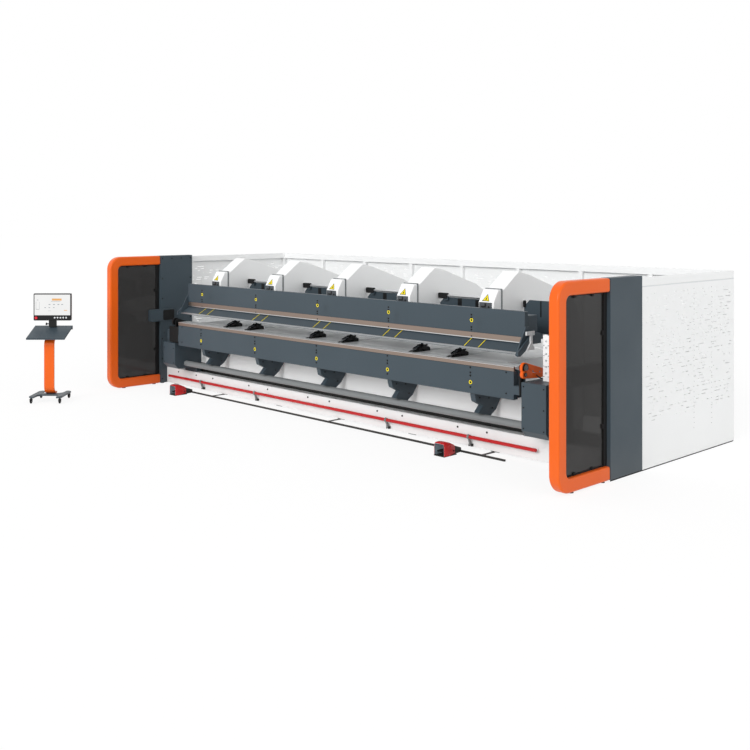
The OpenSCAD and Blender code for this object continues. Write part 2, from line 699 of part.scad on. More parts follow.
base_beam();
union() {
    base_feet();
    frame_feet();
}
base_channel();
front_tube();
support_brackets();
scrap_chute();
c_frame(0);  // c_frame_1
c_frame(1);  // c_frame_2
c_frame(2);  // c_frame_3
c_frame(3);  // c_frame_4
c_frame(4);  // c_frame_5
clamp_guides();
lower_clamp_beam();
lower_clamp_tool();
support_table();
gauge_rails();
guard_frame(-half_len);  // left_guard_frame
guard_frame(inner_x);  // right_guard_frame
guard_pane(-half_len);  // left_guard_pane
guard_pane(inner_x);  // right_guard_pane
side_column(-half_len);  // left_column
side_column(inner_x);  // right_column
side_wall(-half_len);  // left_side_wall
side_wall(half_len - sheet_t);  // right_side_wall
rear_wall();
side_rail(-half_len);  // left_top_rail
side_rail(half_len - post_w);  // right_top_rail
rear_top_rail();
wall_posts();
drive_box(-box_x0 - box_w, cover_low - step_gap);  // left_drive_box
drive_box(box_x0, box_top);  // right_drive_box
left_bearing();
drive_levers();
hole_strip();
floor_rail();
trip_brackets();
pedal_hoods();
console_base();
console_casters();
console_column();
console_shelf();
console_monitor();
upper_clamp_beam();
clamp_shields();
clamp_nose();
arm_heads();
clamp_rods();
upper_end_brackets();
upper_folding_beam();
upper_folding_tool();
lower_folding_beam();
lower_end_ears();
lower_folding_tool();
left_arm_cover();
gauge_carriages();
grippers();
trip_bar();
treadle(pedal_x[0]);  // left_treadle
treadle(pedal_x[1]);  // right_treadle
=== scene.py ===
"""Looks of a long sheet metal folding machine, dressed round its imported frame.

Every length is in metres, in the machine's own frame: +X to the operator's right, +Y to the rear, +Z up.
"""

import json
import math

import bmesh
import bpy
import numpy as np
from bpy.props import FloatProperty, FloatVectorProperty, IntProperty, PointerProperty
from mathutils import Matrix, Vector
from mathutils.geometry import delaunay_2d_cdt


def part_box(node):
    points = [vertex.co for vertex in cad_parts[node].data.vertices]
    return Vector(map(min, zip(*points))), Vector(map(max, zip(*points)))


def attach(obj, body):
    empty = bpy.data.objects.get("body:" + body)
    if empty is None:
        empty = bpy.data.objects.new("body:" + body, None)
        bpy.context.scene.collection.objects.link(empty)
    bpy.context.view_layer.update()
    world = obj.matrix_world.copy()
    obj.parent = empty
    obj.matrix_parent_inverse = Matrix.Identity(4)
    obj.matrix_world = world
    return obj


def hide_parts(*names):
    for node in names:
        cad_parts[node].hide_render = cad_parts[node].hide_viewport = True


bl_info = {
    "name": "Double folding machine",
    "version": (1, 0, 0),
    "blender": (4, 5, 0),
    "location": "View3D > Sidebar > Folder",
    "description": "Dresses the frame of a sheet metal folding machine, piece by piece",
    "category": "Object",
}

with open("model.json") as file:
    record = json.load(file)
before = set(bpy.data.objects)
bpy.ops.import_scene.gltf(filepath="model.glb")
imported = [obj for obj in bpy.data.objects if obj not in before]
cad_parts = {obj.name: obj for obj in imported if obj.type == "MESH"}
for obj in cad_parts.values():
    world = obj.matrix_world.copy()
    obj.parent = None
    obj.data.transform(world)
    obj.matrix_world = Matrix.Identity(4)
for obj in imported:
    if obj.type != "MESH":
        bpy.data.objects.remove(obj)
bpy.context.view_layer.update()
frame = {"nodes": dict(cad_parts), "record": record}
NODES = frame["nodes"]
RECORD = frame["record"]
BODY_OF = {node: body for body, nodes in RECORD["behaviour"]["bodies"].items() for node in nodes}
SLOT_OF = {part["node"]: part["material_slot"] for part in RECORD["subparts"]}
LOW = {name: np.array(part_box(name)[0]) for name in NODES}
HIGH = {name: np.array(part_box(name)[1]) for name in NODES}

X, Y, Z = 0, 1, 2
FRONT = (0, -1, 0)
RIGHT = (1, 0, 0)
UP = (0, 0, 1)
MIRROR = np.array([-1, 1, 1])
STATIONS = np.array([(LOW[f"c_frame_{i}"][X] + HIGH[f"c_frame_{i}"][X]) / 2 for i in range(1, 6)])
BEAM_X = HIGH["lower_folding_tool"][X]
TRIP_X = np.array([-0.478, -0.268, 0.15, 0.36]) * 2 * BEAM_X
PROUD = 0.0006

# The terminal stands turned towards the operator: its place on the floor and its turn
CONSOLE_AT = np.array([-3.930, -2.840, 0.0])
CONSOLE_TURN = math.radians(46)


def linear(hex_colour):
    """An sRGB hex colour as linear RGB."""
    channels = np.array([int(hex_colour[i:i + 2], 16) for i in (0, 2, 4)]) / 255
    return tuple(np.where(channels <= 0.04045, channels / 12.92, ((channels + 0.055) / 1.055) ** 2.4))


class FolderColours(bpy.types.PropertyGroup):
    """Paint colours of the machine."""

    white: FloatVectorProperty(
        name="White paint", description="Frames, walls and heads", subtype="COLOR", size=3, min=0, max=1,
        default=linear("F3F4F4"))
    slate: FloatVectorProperty(
        name="Slate paint", description="Beams, columns and boxes", subtype="COLOR", size=3, min=0, max=1,
        default=linear("3D4951"))
    orange: FloatVectorProperty(
        name="Orange paint", description="Guards, levers and mast", subtype="COLOR", size=3, min=0, max=1,
        default=linear("E8600A"))
    red: FloatVectorProperty(
        name="Red paint", description="Trip bar and pedal hoods", subtype="COLOR", size=3, min=0, max=1,
        default=linear("C4141A"))
    tool: FloatVectorProperty(
        name="Tool steel", description="Folding and clamping tools", subtype="COLOR", size=3, min=0, max=1,
        default=linear("8E7F75"))


class FolderSizes(bpy.types.PropertyGroup):
    """Sizes of the small work that the frame leaves open."""

    slot_height: FloatProperty(
        name="Slot height", description="Height of a slot in the walls", default=0.009, min=0.004, max=0.02,
        unit="LENGTH", subtype="DISTANCE")
    slot_pitch: FloatProperty(
        name="Slot row pitch", description="Distance between rows of slots", default=0.036, min=0.02, max=0.1,
        unit="LENGTH", subtype="DISTANCE")
    screw_radius: FloatProperty(
        name="Screw radius", description="Head radius of the beams' screws", default=0.011, min=0.004,
        max=0.015, unit="LENGTH", subtype="DISTANCE")
    dot_radius: FloatProperty(
        name="Dot radius", description="Radius of a round yellow marker", default=0.023, min=0.01, max=0.04,
        unit="LENGTH", subtype="DISTANCE")
    guard_edge: FloatProperty(
        name="Guard edge", description="Radius of a guard's rounded edges", default=0.022, min=0.005,
        max=0.04, unit="LENGTH", subtype="DISTANCE")
    keys: IntProperty(
        name="Keys", description="Number of round keys under the screen", default=5, min=1, max=8)


class FolderStage(bpy.types.PropertyGroup):
    """Light of the studio."""

    room: FloatProperty(name="Room light", description="Strength of the even light", default=0.68, min=0, max=2)
    key: FloatProperty(name="Key light", description="Strength of the front lamp", default=1.65, min=0, max=9)
    fill: FloatProperty(name="Fill light", description="Strength of the side lamp", default=0.4, min=0, max=9)


# Shapes: each is its points and its faces, worked out as whole arrays

CUBE = np.array([[0, 0, 0], [1, 0, 0], [1, 1, 0], [0, 1, 0], [0, 0, 1], [1, 0, 1], [1, 1, 1], [0, 1, 1]])
CUBE_FACES = np.array([[0, 3, 2, 1], [4, 5, 6, 7], [0, 1, 5, 4], [1, 2, 6, 5], [2, 3, 7, 6], [3, 0, 4, 7]])


def blocks(low, high):
    """Closed boxes, one for each pair of corners: point(i, j, k) = low + (i, j, k) * (high - low)."""
    low, high = np.atleast_2d(low).astype(float), np.atleast_2d(high).astype(float)
    points = low[:, None] + CUBE * (high - low)[:, None]
    faces = CUBE_FACES + 8 * np.arange(len(low))[:, None, None]
    return points.reshape(-1, 3), faces.reshape(-1, 4).tolist()


def around(centres, size):
    """Closed boxes of one size, centred on each point."""
    centres, half = np.atleast_2d(centres).astype(float), np.asarray(size, float) / 2
    return blocks(centres - half, centres + half)


def turned(profile, centres, direction, sides=16):
    """A profile turned about a line: point(i, t) = centre + radius_i (cos t a + sin t b) + height_i d."""
    profile, centres = np.asarray(profile, float), np.atleast_2d(centres).astype(float)
    d = np.asarray(direction, float) / np.linalg.norm(direction)
    a = np.cross(d, (0, 0, 1) if abs(d[Z]) < 0.9 else (1, 0, 0))
    a = a / np.linalg.norm(a)
    b = np.cross(d, a)
    t = np.arange(sides) * 2 * math.pi / sides
    ring = np.cos(t)[:, None] * a + np.sin(t)[:, None] * b
    one = profile[:, 0, None, None] * ring + profile[:, 1, None, None] * d
    points = centres[:, None, None, :] + one
    i, j = np.meshgrid(np.arange(len(profile) - 1), np.arange(sides), indexing="ij")
    k = (j + 1) % sides
    quads = np.stack([i * sides + j, i * sides + k, (i + 1) * sides + k, (i + 1) * sides + j], -1).reshape(-1, 4)
    faces = quads + len(profile) * sides * np.arange(len(centres))[:, None, None]
    return points.reshape(-1, 3), faces.reshape(-1, 4).tolist()


def prism(outline, along, start, end):
    """A flat outline on the other two axes, carried from start to end along one axis and closed."""
    outline = np.asarray(outline, float)
    others = [axis for axis in range(3) if axis != along]
    points = np.empty((2, len(outline), 3))
    points[:, :, others] = outline
    points[0, :, along], points[1, :, along] = start, end
    i = np.arange(len(outline))
    j = (i + 1) % len(outline)
    sides = np.stack([i, j, j + len(outline), i + len(outline)], 1).tolist()
    return points.reshape(-1, 3), sides + [i.tolist(), (i + len(outline)).tolist()]


def swept(section, path, across, closed=False):
    """A closed section carried along a path: point(i, j) = path_i + section_j.x side_i + section_j.y across."""
    section, path, across = np.asarray(section, float), np.asarray(path, float), np.asarray(across, float)
    ahead = np.roll(path, -1, 0) - np.roll(path, 1, 0) if closed else np.gradient(path, axis=0)
    side = np.cross(ahead, across)
    side /= np.linalg.norm(side, axis=1)[:, None]
    points = path[:, None] + section[:, 0, None] * side[:, None] + section[:, 1, None] * across
    rows, count = len(path), len(section)
    i, j = np.meshgrid(np.arange(rows if closed else rows - 1), np.arange(count), indexing="ij")
    n, k = (i + 1) % rows, (j + 1) % count
    quads = np.stack([i * count + j, i * count + k, n * count + k, n * count + j], -1).reshape(-1, 4).tolist()
    ends = [] if closed else [list(range(count)), list(range((rows - 1) * count, rows * count))]
    return points.reshape(-1, 3), quads + ends


def rounded(low, high, radius, steps=6):
    """Outline of a rectangle with round corners: four quarter circles, corner by corner."""
    low, high = np.asarray(low, float) + radius, np.asarray(high, float) - radius
    centres = np.array([[high[0], high[1]], [low[0], high[1]], [low[0], low[1]], [high[0], low[1]]])
    t = np.linspace(0, math.pi / 2, steps + 1) + np.arange(4)[:, None] * math.pi / 2
    return (centres[:, None] + radius * np.stack([np.cos(t), np.sin(t)], -1)).reshape(-1, 2)


def disc(radius, height, edge=0.0):
    """Profile of a flat disc with a chamfered rim, for turning."""
    return [(0, 0), (radius, 0), (radius, height - edge), (radius - edge, height), (0, height)]


def screws(centres, direction, radius, height=0.006):
    """Socket head screws: a short drum with a chamfer and a sunk socket."""
    profile = [(0, -0.001), (radius, -0.001), (radius, 0.7 * height), (0.85 * radius, height),
               (0.5 * radius, height), (0.5 * radius, 0.3 * height), (0, 0.3 * height)]
    return turned(profile, centres, direction, 12)


def grid_points(*axes):
    """Every combination of the given values, one row each."""
    return np.stack(np.meshgrid(*axes, indexing="ij"), -1).reshape(-1, len(axes))


def both_sides(shape):
    """A shape and its mirror image across the machine's middle."""
    return [shape, (shape[0] * MIRROR, *shape[1:])]


def at_console(shape):
    """A shape drawn facing -Y at the origin, turned and set down at the terminal's place."""
    c, s = math.cos(CONSOLE_TURN), math.sin(CONSOLE_TURN)
    return (shape[0] @ np.array([[c, s, 0], [-s, c, 0], [0, 0, 1]]) + CONSOLE_AT, *shape[1:])


def piece(name, shapes, finishes, body="machine", replaces=(), bevel=0.0, segments=2, sharp=35):
    """One object from shapes; each shape may name its finish by number. It rides on a body."""
    points, faces, marks, start = [], [], [], 0
    for shape in shapes:
        points.append(shape[0])
        faces += [[v + start for v in face] for face in shape[1]]
        marks += [shape[2] if len(shape) > 2 else 0] * len(shape[1])
        start += len(shape[0])
    mesh = bpy.data.meshes.new(name)
    mesh.from_pydata(np.concatenate(points).tolist(), [], faces)
    mesh.polygons.foreach_set("material_index", marks)
    made = bmesh.new()
    made.from_mesh(mesh)
    bmesh.ops.remove_doubles(made, verts=made.verts, dist=1e-6)
    bmesh.ops.recalc_face_normals(made, faces=made.faces)
    made.to_mesh(mesh)
    made.free()
    return finished(name, mesh, finishes, body, replaces, bevel, segments, sharp)


def finished(name, mesh, finishes, body, replaces, bevel, segments, sharp=35):
    """Gives a mesh its finishes, smooth shading and softened edges, and puts it on its body."""
    for finish in finishes:
        mesh.materials.append(coating(finish))
    mesh.polygons.foreach_set("use_smooth", np.ones(len(mesh.polygons), bool))
    made = bpy.data.objects.new(name, mesh)
    bpy.context.scene.collection.objects.link(made)
    if bevel:
        edge = made.modifiers.new("Edges", "BEVEL")
        edge.width, edge.segments = bevel, segments
        edge.limit_method, edge.angle_limit = "ANGLE", math.radians(30)
        edge.harden_normals = True
    else:
        mesh.set_sharp_from_angle(angle=math.radians(sharp))
    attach(made, body)
    if replaces:
        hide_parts(*replaces)
    return made


def softened(node, width, segments=2, finish=None):
    """A node's own solid with its flat faces merged and its edges rounded."""
    source = NODES[node].data
    points = np.empty(len(source.vertices) * 3, np.float32)
    source.vertices.foreach_get("co", points)
    mesh = bpy.data.meshes.new(node + "_shell")
    mesh.from_pydata(points.reshape(-1, 3).tolist(), [], [list(face.vertices) for face in source.polygons])
    made = bmesh.new()
    made.from_mesh(mesh)
    bmesh.ops.remove_doubles(made, verts=made.verts, dist=2e-5)
    bmesh.ops.dissolve_limit(made, angle_limit=math.radians(0.6), verts=made.verts, edges=made.edges)
    made.to_mesh(mesh)
    made.free()
    slot = SLOT_OF[node]
    return finished(node + "_shell", mesh, [finish or slot], BODY_OF[node], [node], width, segments)


# Finishes: each starts from what the real surface is made of

def add(tree, kind, values=None, links=None, **settings):
    """Adds a node, sets its properties and inputs, and links other nodes' outputs to it."""
    node = tree.nodes.new("ShaderNode" + kind)
    for key, value in settings.items():
        setattr(node, key, value)
    for key, value in (values or {}).items():
        node.inputs[key].default_value = value
    for key, socket in (links or {}).items():
        tree.links.new(socket, node.inputs[key])
    return node


def start_finish(name):
    """An empty material with its output, and the place on the object that patterns follow."""
    material = bpy.data.materials.new(name)
    material.use_nodes = True
    tree = material.node_tree
    tree.nodes.clear()
    return material, tree, add(tree, "TexCoord").outputs["Object"]


def end_finish(tree, values, links):
    """Closes a material with one glossy and matt shader."""
    shader = add(tree, "BsdfPrincipled", values, links)
    add(tree, "OutputMaterial", None, {"Surface": shader.outputs["BSDF"]})


def rgba(colour, factor=1.0):
    """A colour times a factor, with full opacity."""
    return (*(min(1.0, channel * factor) for channel in colour), 1.0)


def powder_coat(name, colour, roughness, peel=0.007, cloud=0.05, dust=0.10):
    """Powder coat baked on sheet steel: soft gloss broken up by orange peel, a little dust near the floor."""
    material, tree, place = start_finish(name)
    broad = add(tree, "TexNoise", {"Scale": 1.6, "Detail": 4.0}, {"Vector": place})
    tint = add(tree, "Mix", {6: rgba(colour, 1 + cloud), 7: rgba(colour, 1 - 1.6 * cloud)},
               {0: broad.outputs["Fac"]}, data_type="RGBA")
    speck = add(tree, "TexNoise", {"Scale": 210.0, "Detail": 1.0}, {"Vector": place})
    height = add(tree, "SeparateXYZ", None, {"Vector": place})
    low = add(tree, "MapRange", {"From Min": 0.0, "From Max": 0.45, "To Min": dust, "To Max": 0.0},
              {"Value": height.outputs["Z"]})
    patch = add(tree, "Math", None, {0: low.outputs["Result"], 1: speck.outputs["Fac"]}, operation="MULTIPLY")
    dusty = add(tree, "Mix", {7: rgba(linear("A39D92"))},
                {0: patch.outputs[0], 6: tint.outputs[2]}, data_type="RGBA")
    shine = add(tree, "MapRange", {"From Min": 0.3, "From Max": 0.7, "To Min": roughness - 0.05,
                                   "To Max": roughness + 0.08}, {"Value": broad.outputs["Fac"]})
    peeling = add(tree, "TexNoise", {"Scale": 1 / peel, "Detail": 1.0}, {"Vector": place})
    bump = add(tree, "Bump", {"Strength": 0.16, "Distance": 0.0005}, {"Height": peeling.outputs["Fac"]})
    end_finish(tree, {"IOR": 1.38},
               {"Base Color": dusty.outputs[2], "Roughness": shine.outputs["Result"],
                "Normal": bump.outputs["Normal"]})
    return material


def ground_steel(name, colour, roughness, streak=0.003, patina=0.10):
    """Ground or drawn steel: fine streaks along the beams, and a faint uneven patina."""
    material, tree, place = start_finish(name)
    drawn = add(tree, "Mapping", {"Scale": (1.2, 1 / streak, 1 / streak)}, {"Vector": place})
    streaks = add(tree, "TexNoise", {"Scale": 1.0, "Detail": 5.0}, {"Vector": drawn.outputs["Vector"]})
    broad = add(tree, "TexNoise", {"Scale": 3.0, "Detail": 5.0}, {"Vector": place})
    tint = add(tree, "Mix", {6: rgba(colour, 1 - patina), 7: rgba(colour, 1 + patina)},
               {0: broad.outputs["Fac"]}, data_type="RGBA")
    lined = add(tree, "Mix", {7: rgba(colour, 1.25)}, {0: streaks.outputs["Fac"], 6: tint.outputs[2]},
                data_type="RGBA")
    shine = add(tree, "MapRange", {"To Min": roughness - 0.1, "To Max": roughness + 0.12},
                {"Value": streaks.outputs["Fac"]})
    bump = add(tree, "Bump", {"Strength": 0.15, "Distance": 0.0003}, {"Height": streaks.outputs["Fac"]})
    end_finish(tree, {"Metallic": 1.0},
               {"Base Color": lined.outputs[2], "Roughness": shine.outputs["Result"],
                "Normal": bump.outputs["Normal"]})
    return material


def smoked_acrylic(name):
    """Smoked cast acrylic: nearly black, a little light comes through, with a polished face."""
    material, tree, place = start_finish(name)
    haze = add(tree, "TexNoise", {"Scale": 2.2, "Detail": 3.0}, {"Vector": place})
    shine = add(tree, "MapRange", {"To Min": 0.06, "To Max": 0.16}, {"Value": haze.outputs["Fac"]})
    tint = add(tree, "Mix", {6: rgba(linear("1A1918")), 7: rgba(linear("242221"))},
               {0: haze.outputs["Fac"]}, data_type="RGBA")
    end_finish(tree, {"Alpha": 0.85, "IOR": 1.3},
               {"Base Color": tint.outputs[2], "Roughness": shine.outputs["Result"]})
    return material


def moulded(name, colour, roughness, grain=0.002, bump_depth=0.0003):
    """Moulded rubber or plastic: one even colour with a fine matt grain."""
    material, tree, place = start_finish(name)
    grains = add(tree, "TexNoise", {"Scale": 1 / grain, "Detail": 2.0}, {"Vector": place})
    tint = add(tree, "Mix", {6: rgba(colour, 0.9), 7: rgba(colour, 1.15)}, {0: grains.outputs["Fac"]},
               data_type="RGBA")
    bump = add(tree, "Bump", {"Strength": 0.3, "Distance": bump_depth}, {"Height": grains.outputs["Fac"]})
    end_finish(tree, {"Roughness": roughness, "IOR": 1.38},
               {"Base Color": tint.outputs[2], "Normal": bump.outputs["Normal"]})
    return material


def lit(name, colour, strength=0.9):
    """A lit part of the screen: back light through a flat film."""
    material, tree, place = start_finish(name)
    glow = add(tree, "TexNoise", {"Scale": 5.0, "Detail": 1.0}, {"Vector": place})
    tint = add(tree, "Mix", {6: rgba(colour), 7: rgba(colour, 0.93)}, {0: glow.outputs["Fac"]},
               data_type="RGBA")
    end_finish(tree, {"Base Color": rgba(linear("101112")), "Roughness": 0.25, "Emission Strength": strength},
               {"Emission Color": tint.outputs[2]})
    return material


def coating(name):
    """The finish of that name, made when it is first asked for."""
    title = name + "_finish"
    if title in bpy.data.materials:
        return bpy.data.materials[title]
    colours = bpy.context.scene.folder_colours
    makers = {
        "white_enamel": lambda: powder_coat(title, colours.white, 0.38, cloud=0.012, dust=0.12),
        "slate_enamel": lambda: powder_coat(title, colours.slate, 0.42, peel=0.005, cloud=0.06),
        "orange_enamel": lambda: powder_coat(title, colours.orange, 0.33, cloud=0.03, dust=0.06),
        "red_enamel": lambda: powder_coat(title, colours.red, 0.26, cloud=0.04, dust=0.05),
        "black_enamel": lambda: powder_coat(title, linear("0A0B0C"), 0.4, cloud=0.1),
        "grey_steel": lambda: powder_coat(title, linear("7F8283"), 0.4, cloud=0.06),
        "pale_steel": lambda: powder_coat(title, linear("D2D4D5"), 0.36, cloud=0.04),
        "pedal_grey": lambda: powder_coat(title, linear("A9BAC4"), 0.4, cloud=0.05),
        "tool_steel": lambda: ground_steel(title, colours.tool, 0.42),
        "bright_steel": lambda: ground_steel(title, linear("C4C5C6"), 0.3, patina=0.05),
        "black_oxide": lambda: moulded(title, linear("08090A"), 0.4, grain=0.001),
        "smoked_pane": lambda: smoked_acrylic(title),
        "black_rubber": lambda: moulded(title, linear("08090A"), 0.7, grain=0.003),
        "seal_grey": lambda: moulded(title, linear("6B6F72"), 0.7, grain=0.003),
        "screen": lambda: moulded(title, linear("0C0D0F"), 0.22, grain=0.0015, bump_depth=0.00005),
        "yellow_vinyl": lambda: moulded(title, linear("EAD60C"), 0.35, grain=0.004, bump_depth=0.00005),
        "grey_vinyl": lambda: moulded(title, linear("4A4E52"), 0.4, grain=0.004, bump_depth=0.00005),
        "red_plastic": lambda: moulded(title, linear("D32233"), 0.3, grain=0.002, bump_depth=0.00005),
        "white_plastic": lambda: moulded(title, linear("DADDDF"), 0.35, grain=0.002, bump_depth=0.00005),
        "screen_light": lambda: lit(title, linear("FBFBFA")),
        "screen_orange": lambda: lit(title, linear("F7B66A")),
        "screen_grey": lambda: lit(title, linear("AFB4B8")),
    }
    return makers[name]()


# Pieces

# Nodes whose own solid is right, with the radius of their rounded edges in millimetres
SHELLS = {
    "base_beam": 4, "base_feet": 2, "base_channel": 1, "support_brackets": 3,
    "scrap_chute": 1, "c_frame_1": 7, "c_frame_2": 7, "c_frame_3": 7, "c_frame_4": 7, "c_frame_5": 7,
    "clamp_guides": 2, "lower_clamp_beam": 2, "support_table": 2, "gauge_rails": 2,
    "left_guard_pane": 1, "right_guard_pane": 1, "left_column": 5, "right_column": 5, "left_top_rail": 4,
    "right_top_rail": 4, "rear_top_rail": 4, "wall_posts": 2, "left_drive_box": 5, "right_drive_box": 5,
    "hole_strip": 1,
    "console_column": 3, "upper_clamp_beam": 3, "clamp_nose": 1.2,
    "lower_end_ears": 3, "clamp_shields": 1.5, "upper_folding_beam": 3, "upper_folding_tool": 1.5,
    "lower_folding_beam": 3, "lower_folding_tool": 2, "gauge_carriages": 2,
}


class FOLDER_OT_shells(bpy.types.Operator):
    """Round the edges of the frame's own solids and paint them"""

    bl_idname = "folder.shells"
    bl_label = "Painted shells"

    def execute(self, context):
        sizes = context.scene.folder_sizes
        for node, millimetres in SHELLS.items():
            softened(node, millimetres / 1000)
        for node in ("left_guard_frame", "right_guard_frame"):
            softened(node, sizes.guard_edge, 4)
        softened("arm_heads", 0.018, 4)
        softened("front_tube", 0.0015)
        softened("left_bearing", 0.003, finish="black_enamel")
        # Pale paint in place of the lower clamp tool's ground steel is painted light: it shows bright where the steel
        # would mirror the dark nose.
        softened("lower_clamp_tool", 0.001, finish="pale_steel")
        softened("floor_rail", 0.004, 3, "black_enamel")
        softened("trip_brackets", 0.002, finish="black_enamel")
        softened("upper_end_brackets", 0.0025, finish="slate_enamel")
        return {"FINISHED"}


def slot_rows(rng, low, high, pitch):
    """Random dashes in rows: start_k = sum of the gaps and lengths before it; those past the edge go."""
    rows = np.arange(low[1], high[1], pitch)
    count = int((high[0] - low[0]) / 0.06)
    gaps = 0.026 + rng.exponential(0.12, (len(rows), count))
    lengths = rng.choice([0.014, 0.022, 0.045, 0.07, 0.1, 0.13], (len(rows), count), p=[.22, .2, .2, .16, .14, .08])
    ends = low[0] + np.cumsum(gaps + lengths, axis=1) - rng.uniform(0, 0.03, (len(rows), 1))
    levels = (rows + rng.uniform(-0.2, 0.2, len(rows)) * pitch)[:, None] + np.zeros((1, count))
    keep = ends < high[0]
    return np.stack([(ends - lengths)[keep], ends[keep], levels[keep]], 1)


def slotted(low, high, slots, height):
    """A flat sheet with round-ended slots: the sheet's outline and every slot's outline, filled between."""
    t = np.radians([-90, -30, 30, 90, 90, 150, 210, 270])
    ends = np.array([1, 1, 1, 1, 0, 0, 0, 0])
    middle = np.where(ends == 1, slots[:, 1:2] - height / 2, slots[:, 0:1] + height / 2)
    rings = np.stack([middle + height / 2 * np.cos(t), slots[:, 2:3] + height / 2 * np.sin(t)], -1)
    corners = np.array([[low[0], low[1]], [high[0], low[1]], [high[0], high[1]], [low[0], high[1]]])
    flat = np.concatenate([corners, rings.reshape(-1, 2)])
    i = np.arange(len(slots) * 8)
    ring_edges = np.stack([i, i // 8 * 8 + (i + 1) % 8], 1) + 4
    edges = np.concatenate([[[0, 1], [1, 2], [2, 3], [3, 0]], ring_edges]).tolist()
    points, _, faces, *_ = delaunay_2d_cdt([Vector(p) for p in flat], edges, [], 1, 1e-6, False)
    points, faces = np.array([tuple(p) for p in points]), np.array(faces)
    middles = points[faces].mean(1)
    inside = np.zeros(len(faces), bool)
    for level in np.unique(slots[:, 2]):
        row = slots[slots[:, 2] == level]
        near = np.abs(middles[:, 1] - level) < height / 2
        hit = (middles[near, 0, None] > row[:, 0]) & (middles[near, 0, None] < row[:, 1])
        inside[near] |= hit.any(1)
    return points, faces[~inside]


def wall_sheet(name, node, along, outer, spans, rng, sizes):
    """Slotted panels side by side in a wall's plane, with the seams of the real sheets between them."""
    face_axis = Y if along == X else X
    low, high = LOW[node], HIGH[node]
    seam, gasket, margin = 0.0015, 0.009, 0.05
    shapes = []
    for start, end in spans:
        floor, top = low[Z], high[Z] - gasket
        slots = slot_rows(rng, (start + margin, low[Z] + 0.50), (end - margin, high[Z] - 0.07), sizes.slot_pitch)
        flat, faces = slotted((start + seam, floor), (end - seam, top), slots, sizes.slot_height)
        points = np.empty((len(flat), 3))
        points[:, along], points[:, Z], points[:, face_axis] = flat[:, 0], flat[:, 1], outer
        shapes.append((points, faces.tolist()))
    made = piece(name, shapes, ["white_enamel"], "machine", [node])
    made.data.polygons.foreach_set("use_smooth", np.zeros(len(made.data.polygons), bool))
    wall = made.modifiers.new("Sheet", "SOLIDIFY")
    wall.thickness = high[face_axis] - low[face_axis]
    middle = (low[face_axis] + high[face_axis]) / 2
    normal = np.empty(len(made.data.polygons) * 3, np.float32)
    made.data.polygons.foreach_get("normal", normal)
    outward = np.sign(outer - middle) == np.sign(normal.reshape(-1, 3)[0, face_axis])
    wall.offset = -1 if outward else 1
    return made


class FOLDER_OT_walls(bpy.types.Operator):
    """Cut the slots of the enclosure's walls and add their seals, rivets and feet"""

    bl_idname = "folder.walls"
    bl_label = "Slotted walls"

    def execute(self, context):
        sizes = context.scene.folder_sizes
        rng = np.random.default_rng(12)
        left, right, rear = "left_side_wall", "right_side_wall", "rear_wall"
        sides = [(LOW[right][Y], HIGH[right][Y])]
        bays = np.linspace(LOW[rear][X], HIGH[rear][X], 9)
        wall_sheet("right_slotted_wall", right, Y, HIGH[right][X], sides, rng, sizes)
        wall_sheet("left_slotted_wall", left, Y, LOW[left][X], sides, rng, sizes)
        wall_sheet("rear_slotted_wall", rear, X, HIGH[rear][Y], list(zip(bays[:-1], bays[1:])), rng, sizes)
        top = HIGH[right][Z]
        thick = 0.004
        seal = blocks([HIGH[right][X] - thick, LOW[right][Y], top - 0.009],
                      [HIGH[right][X] - 0.0005, HIGH[right][Y], top])
        rear_seal = blocks([LOW[rear][X], HIGH[rear][Y] - thick, top - 0.009],
                           [HIGH[rear][X], HIGH[rear][Y] - 0.0005, top])
        piece("wall_seals", [*both_sides(seal), rear_seal], ["white_plastic"])
        # Black strips filling the gaps under the columns and walls: painted shadow, for the shade on the floor under
        # the raised walls.
        column_low, column_high = LOW["right_column"], HIGH["right_column"]
        shadow_strips = blocks([[column_high[X] - 0.010, column_low[Y] + 0.004, 0.001],
                          [HIGH[right][X] - 0.009, LOW[right][Y], 0.001]],
                         [[column_high[X] - 0.006, column_high[Y] - 0.004, column_low[Z] + 0.0005],
                          [HIGH[right][X] - 0.005, HIGH[right][Y] - 0.01, LOW[right][Z] + 0.0005]])
        piece("wall_shadow_strips", both_sides(shadow_strips), ["black_rubber"])
        levels = np.arange(0.30, top - 0.05, 0.058)
        spots = grid_points([HIGH[right][X]], [0.81, 1.22], levels)
        spots[:, Y] += 0.004 * np.sin(spots[:, Z] * 40)
        rear_spots = grid_points(bays[1:-1] + 0.03, [HIGH[rear][Y]], levels[::2])
        piece("wall_rivets",
              [*both_sides(turned(disc(0.0045, 0.0012, 0.0006), spots, RIGHT, 8)),
               turned(disc(0.0045, 0.0012, 0.0006), rear_spots, (0, 1, 0), 8)],
              ["grey_steel"])
        foot = [(0, 0), (0.028, 0), (0.028, 0.006), (0.012, 0.009), (0.012, 0.0152), (0, 0.0152)]
        stands = np.array([[HIGH[right][X] - 0.05, y, 0] for y in (-1.50, -0.96, -0.80, -0.36, 0.25, 0.81, 1.22, 1.70)])
        rear_feet = grid_points(bays[1:-1], [HIGH[rear][Y] - 0.035], [0])
        piece("levelling_feet", [*both_sides(turned(foot, stands, UP, 14)), turned(foot, rear_feet, UP, 14)],
              ["black_rubber"])
        return {"FINISHED"}


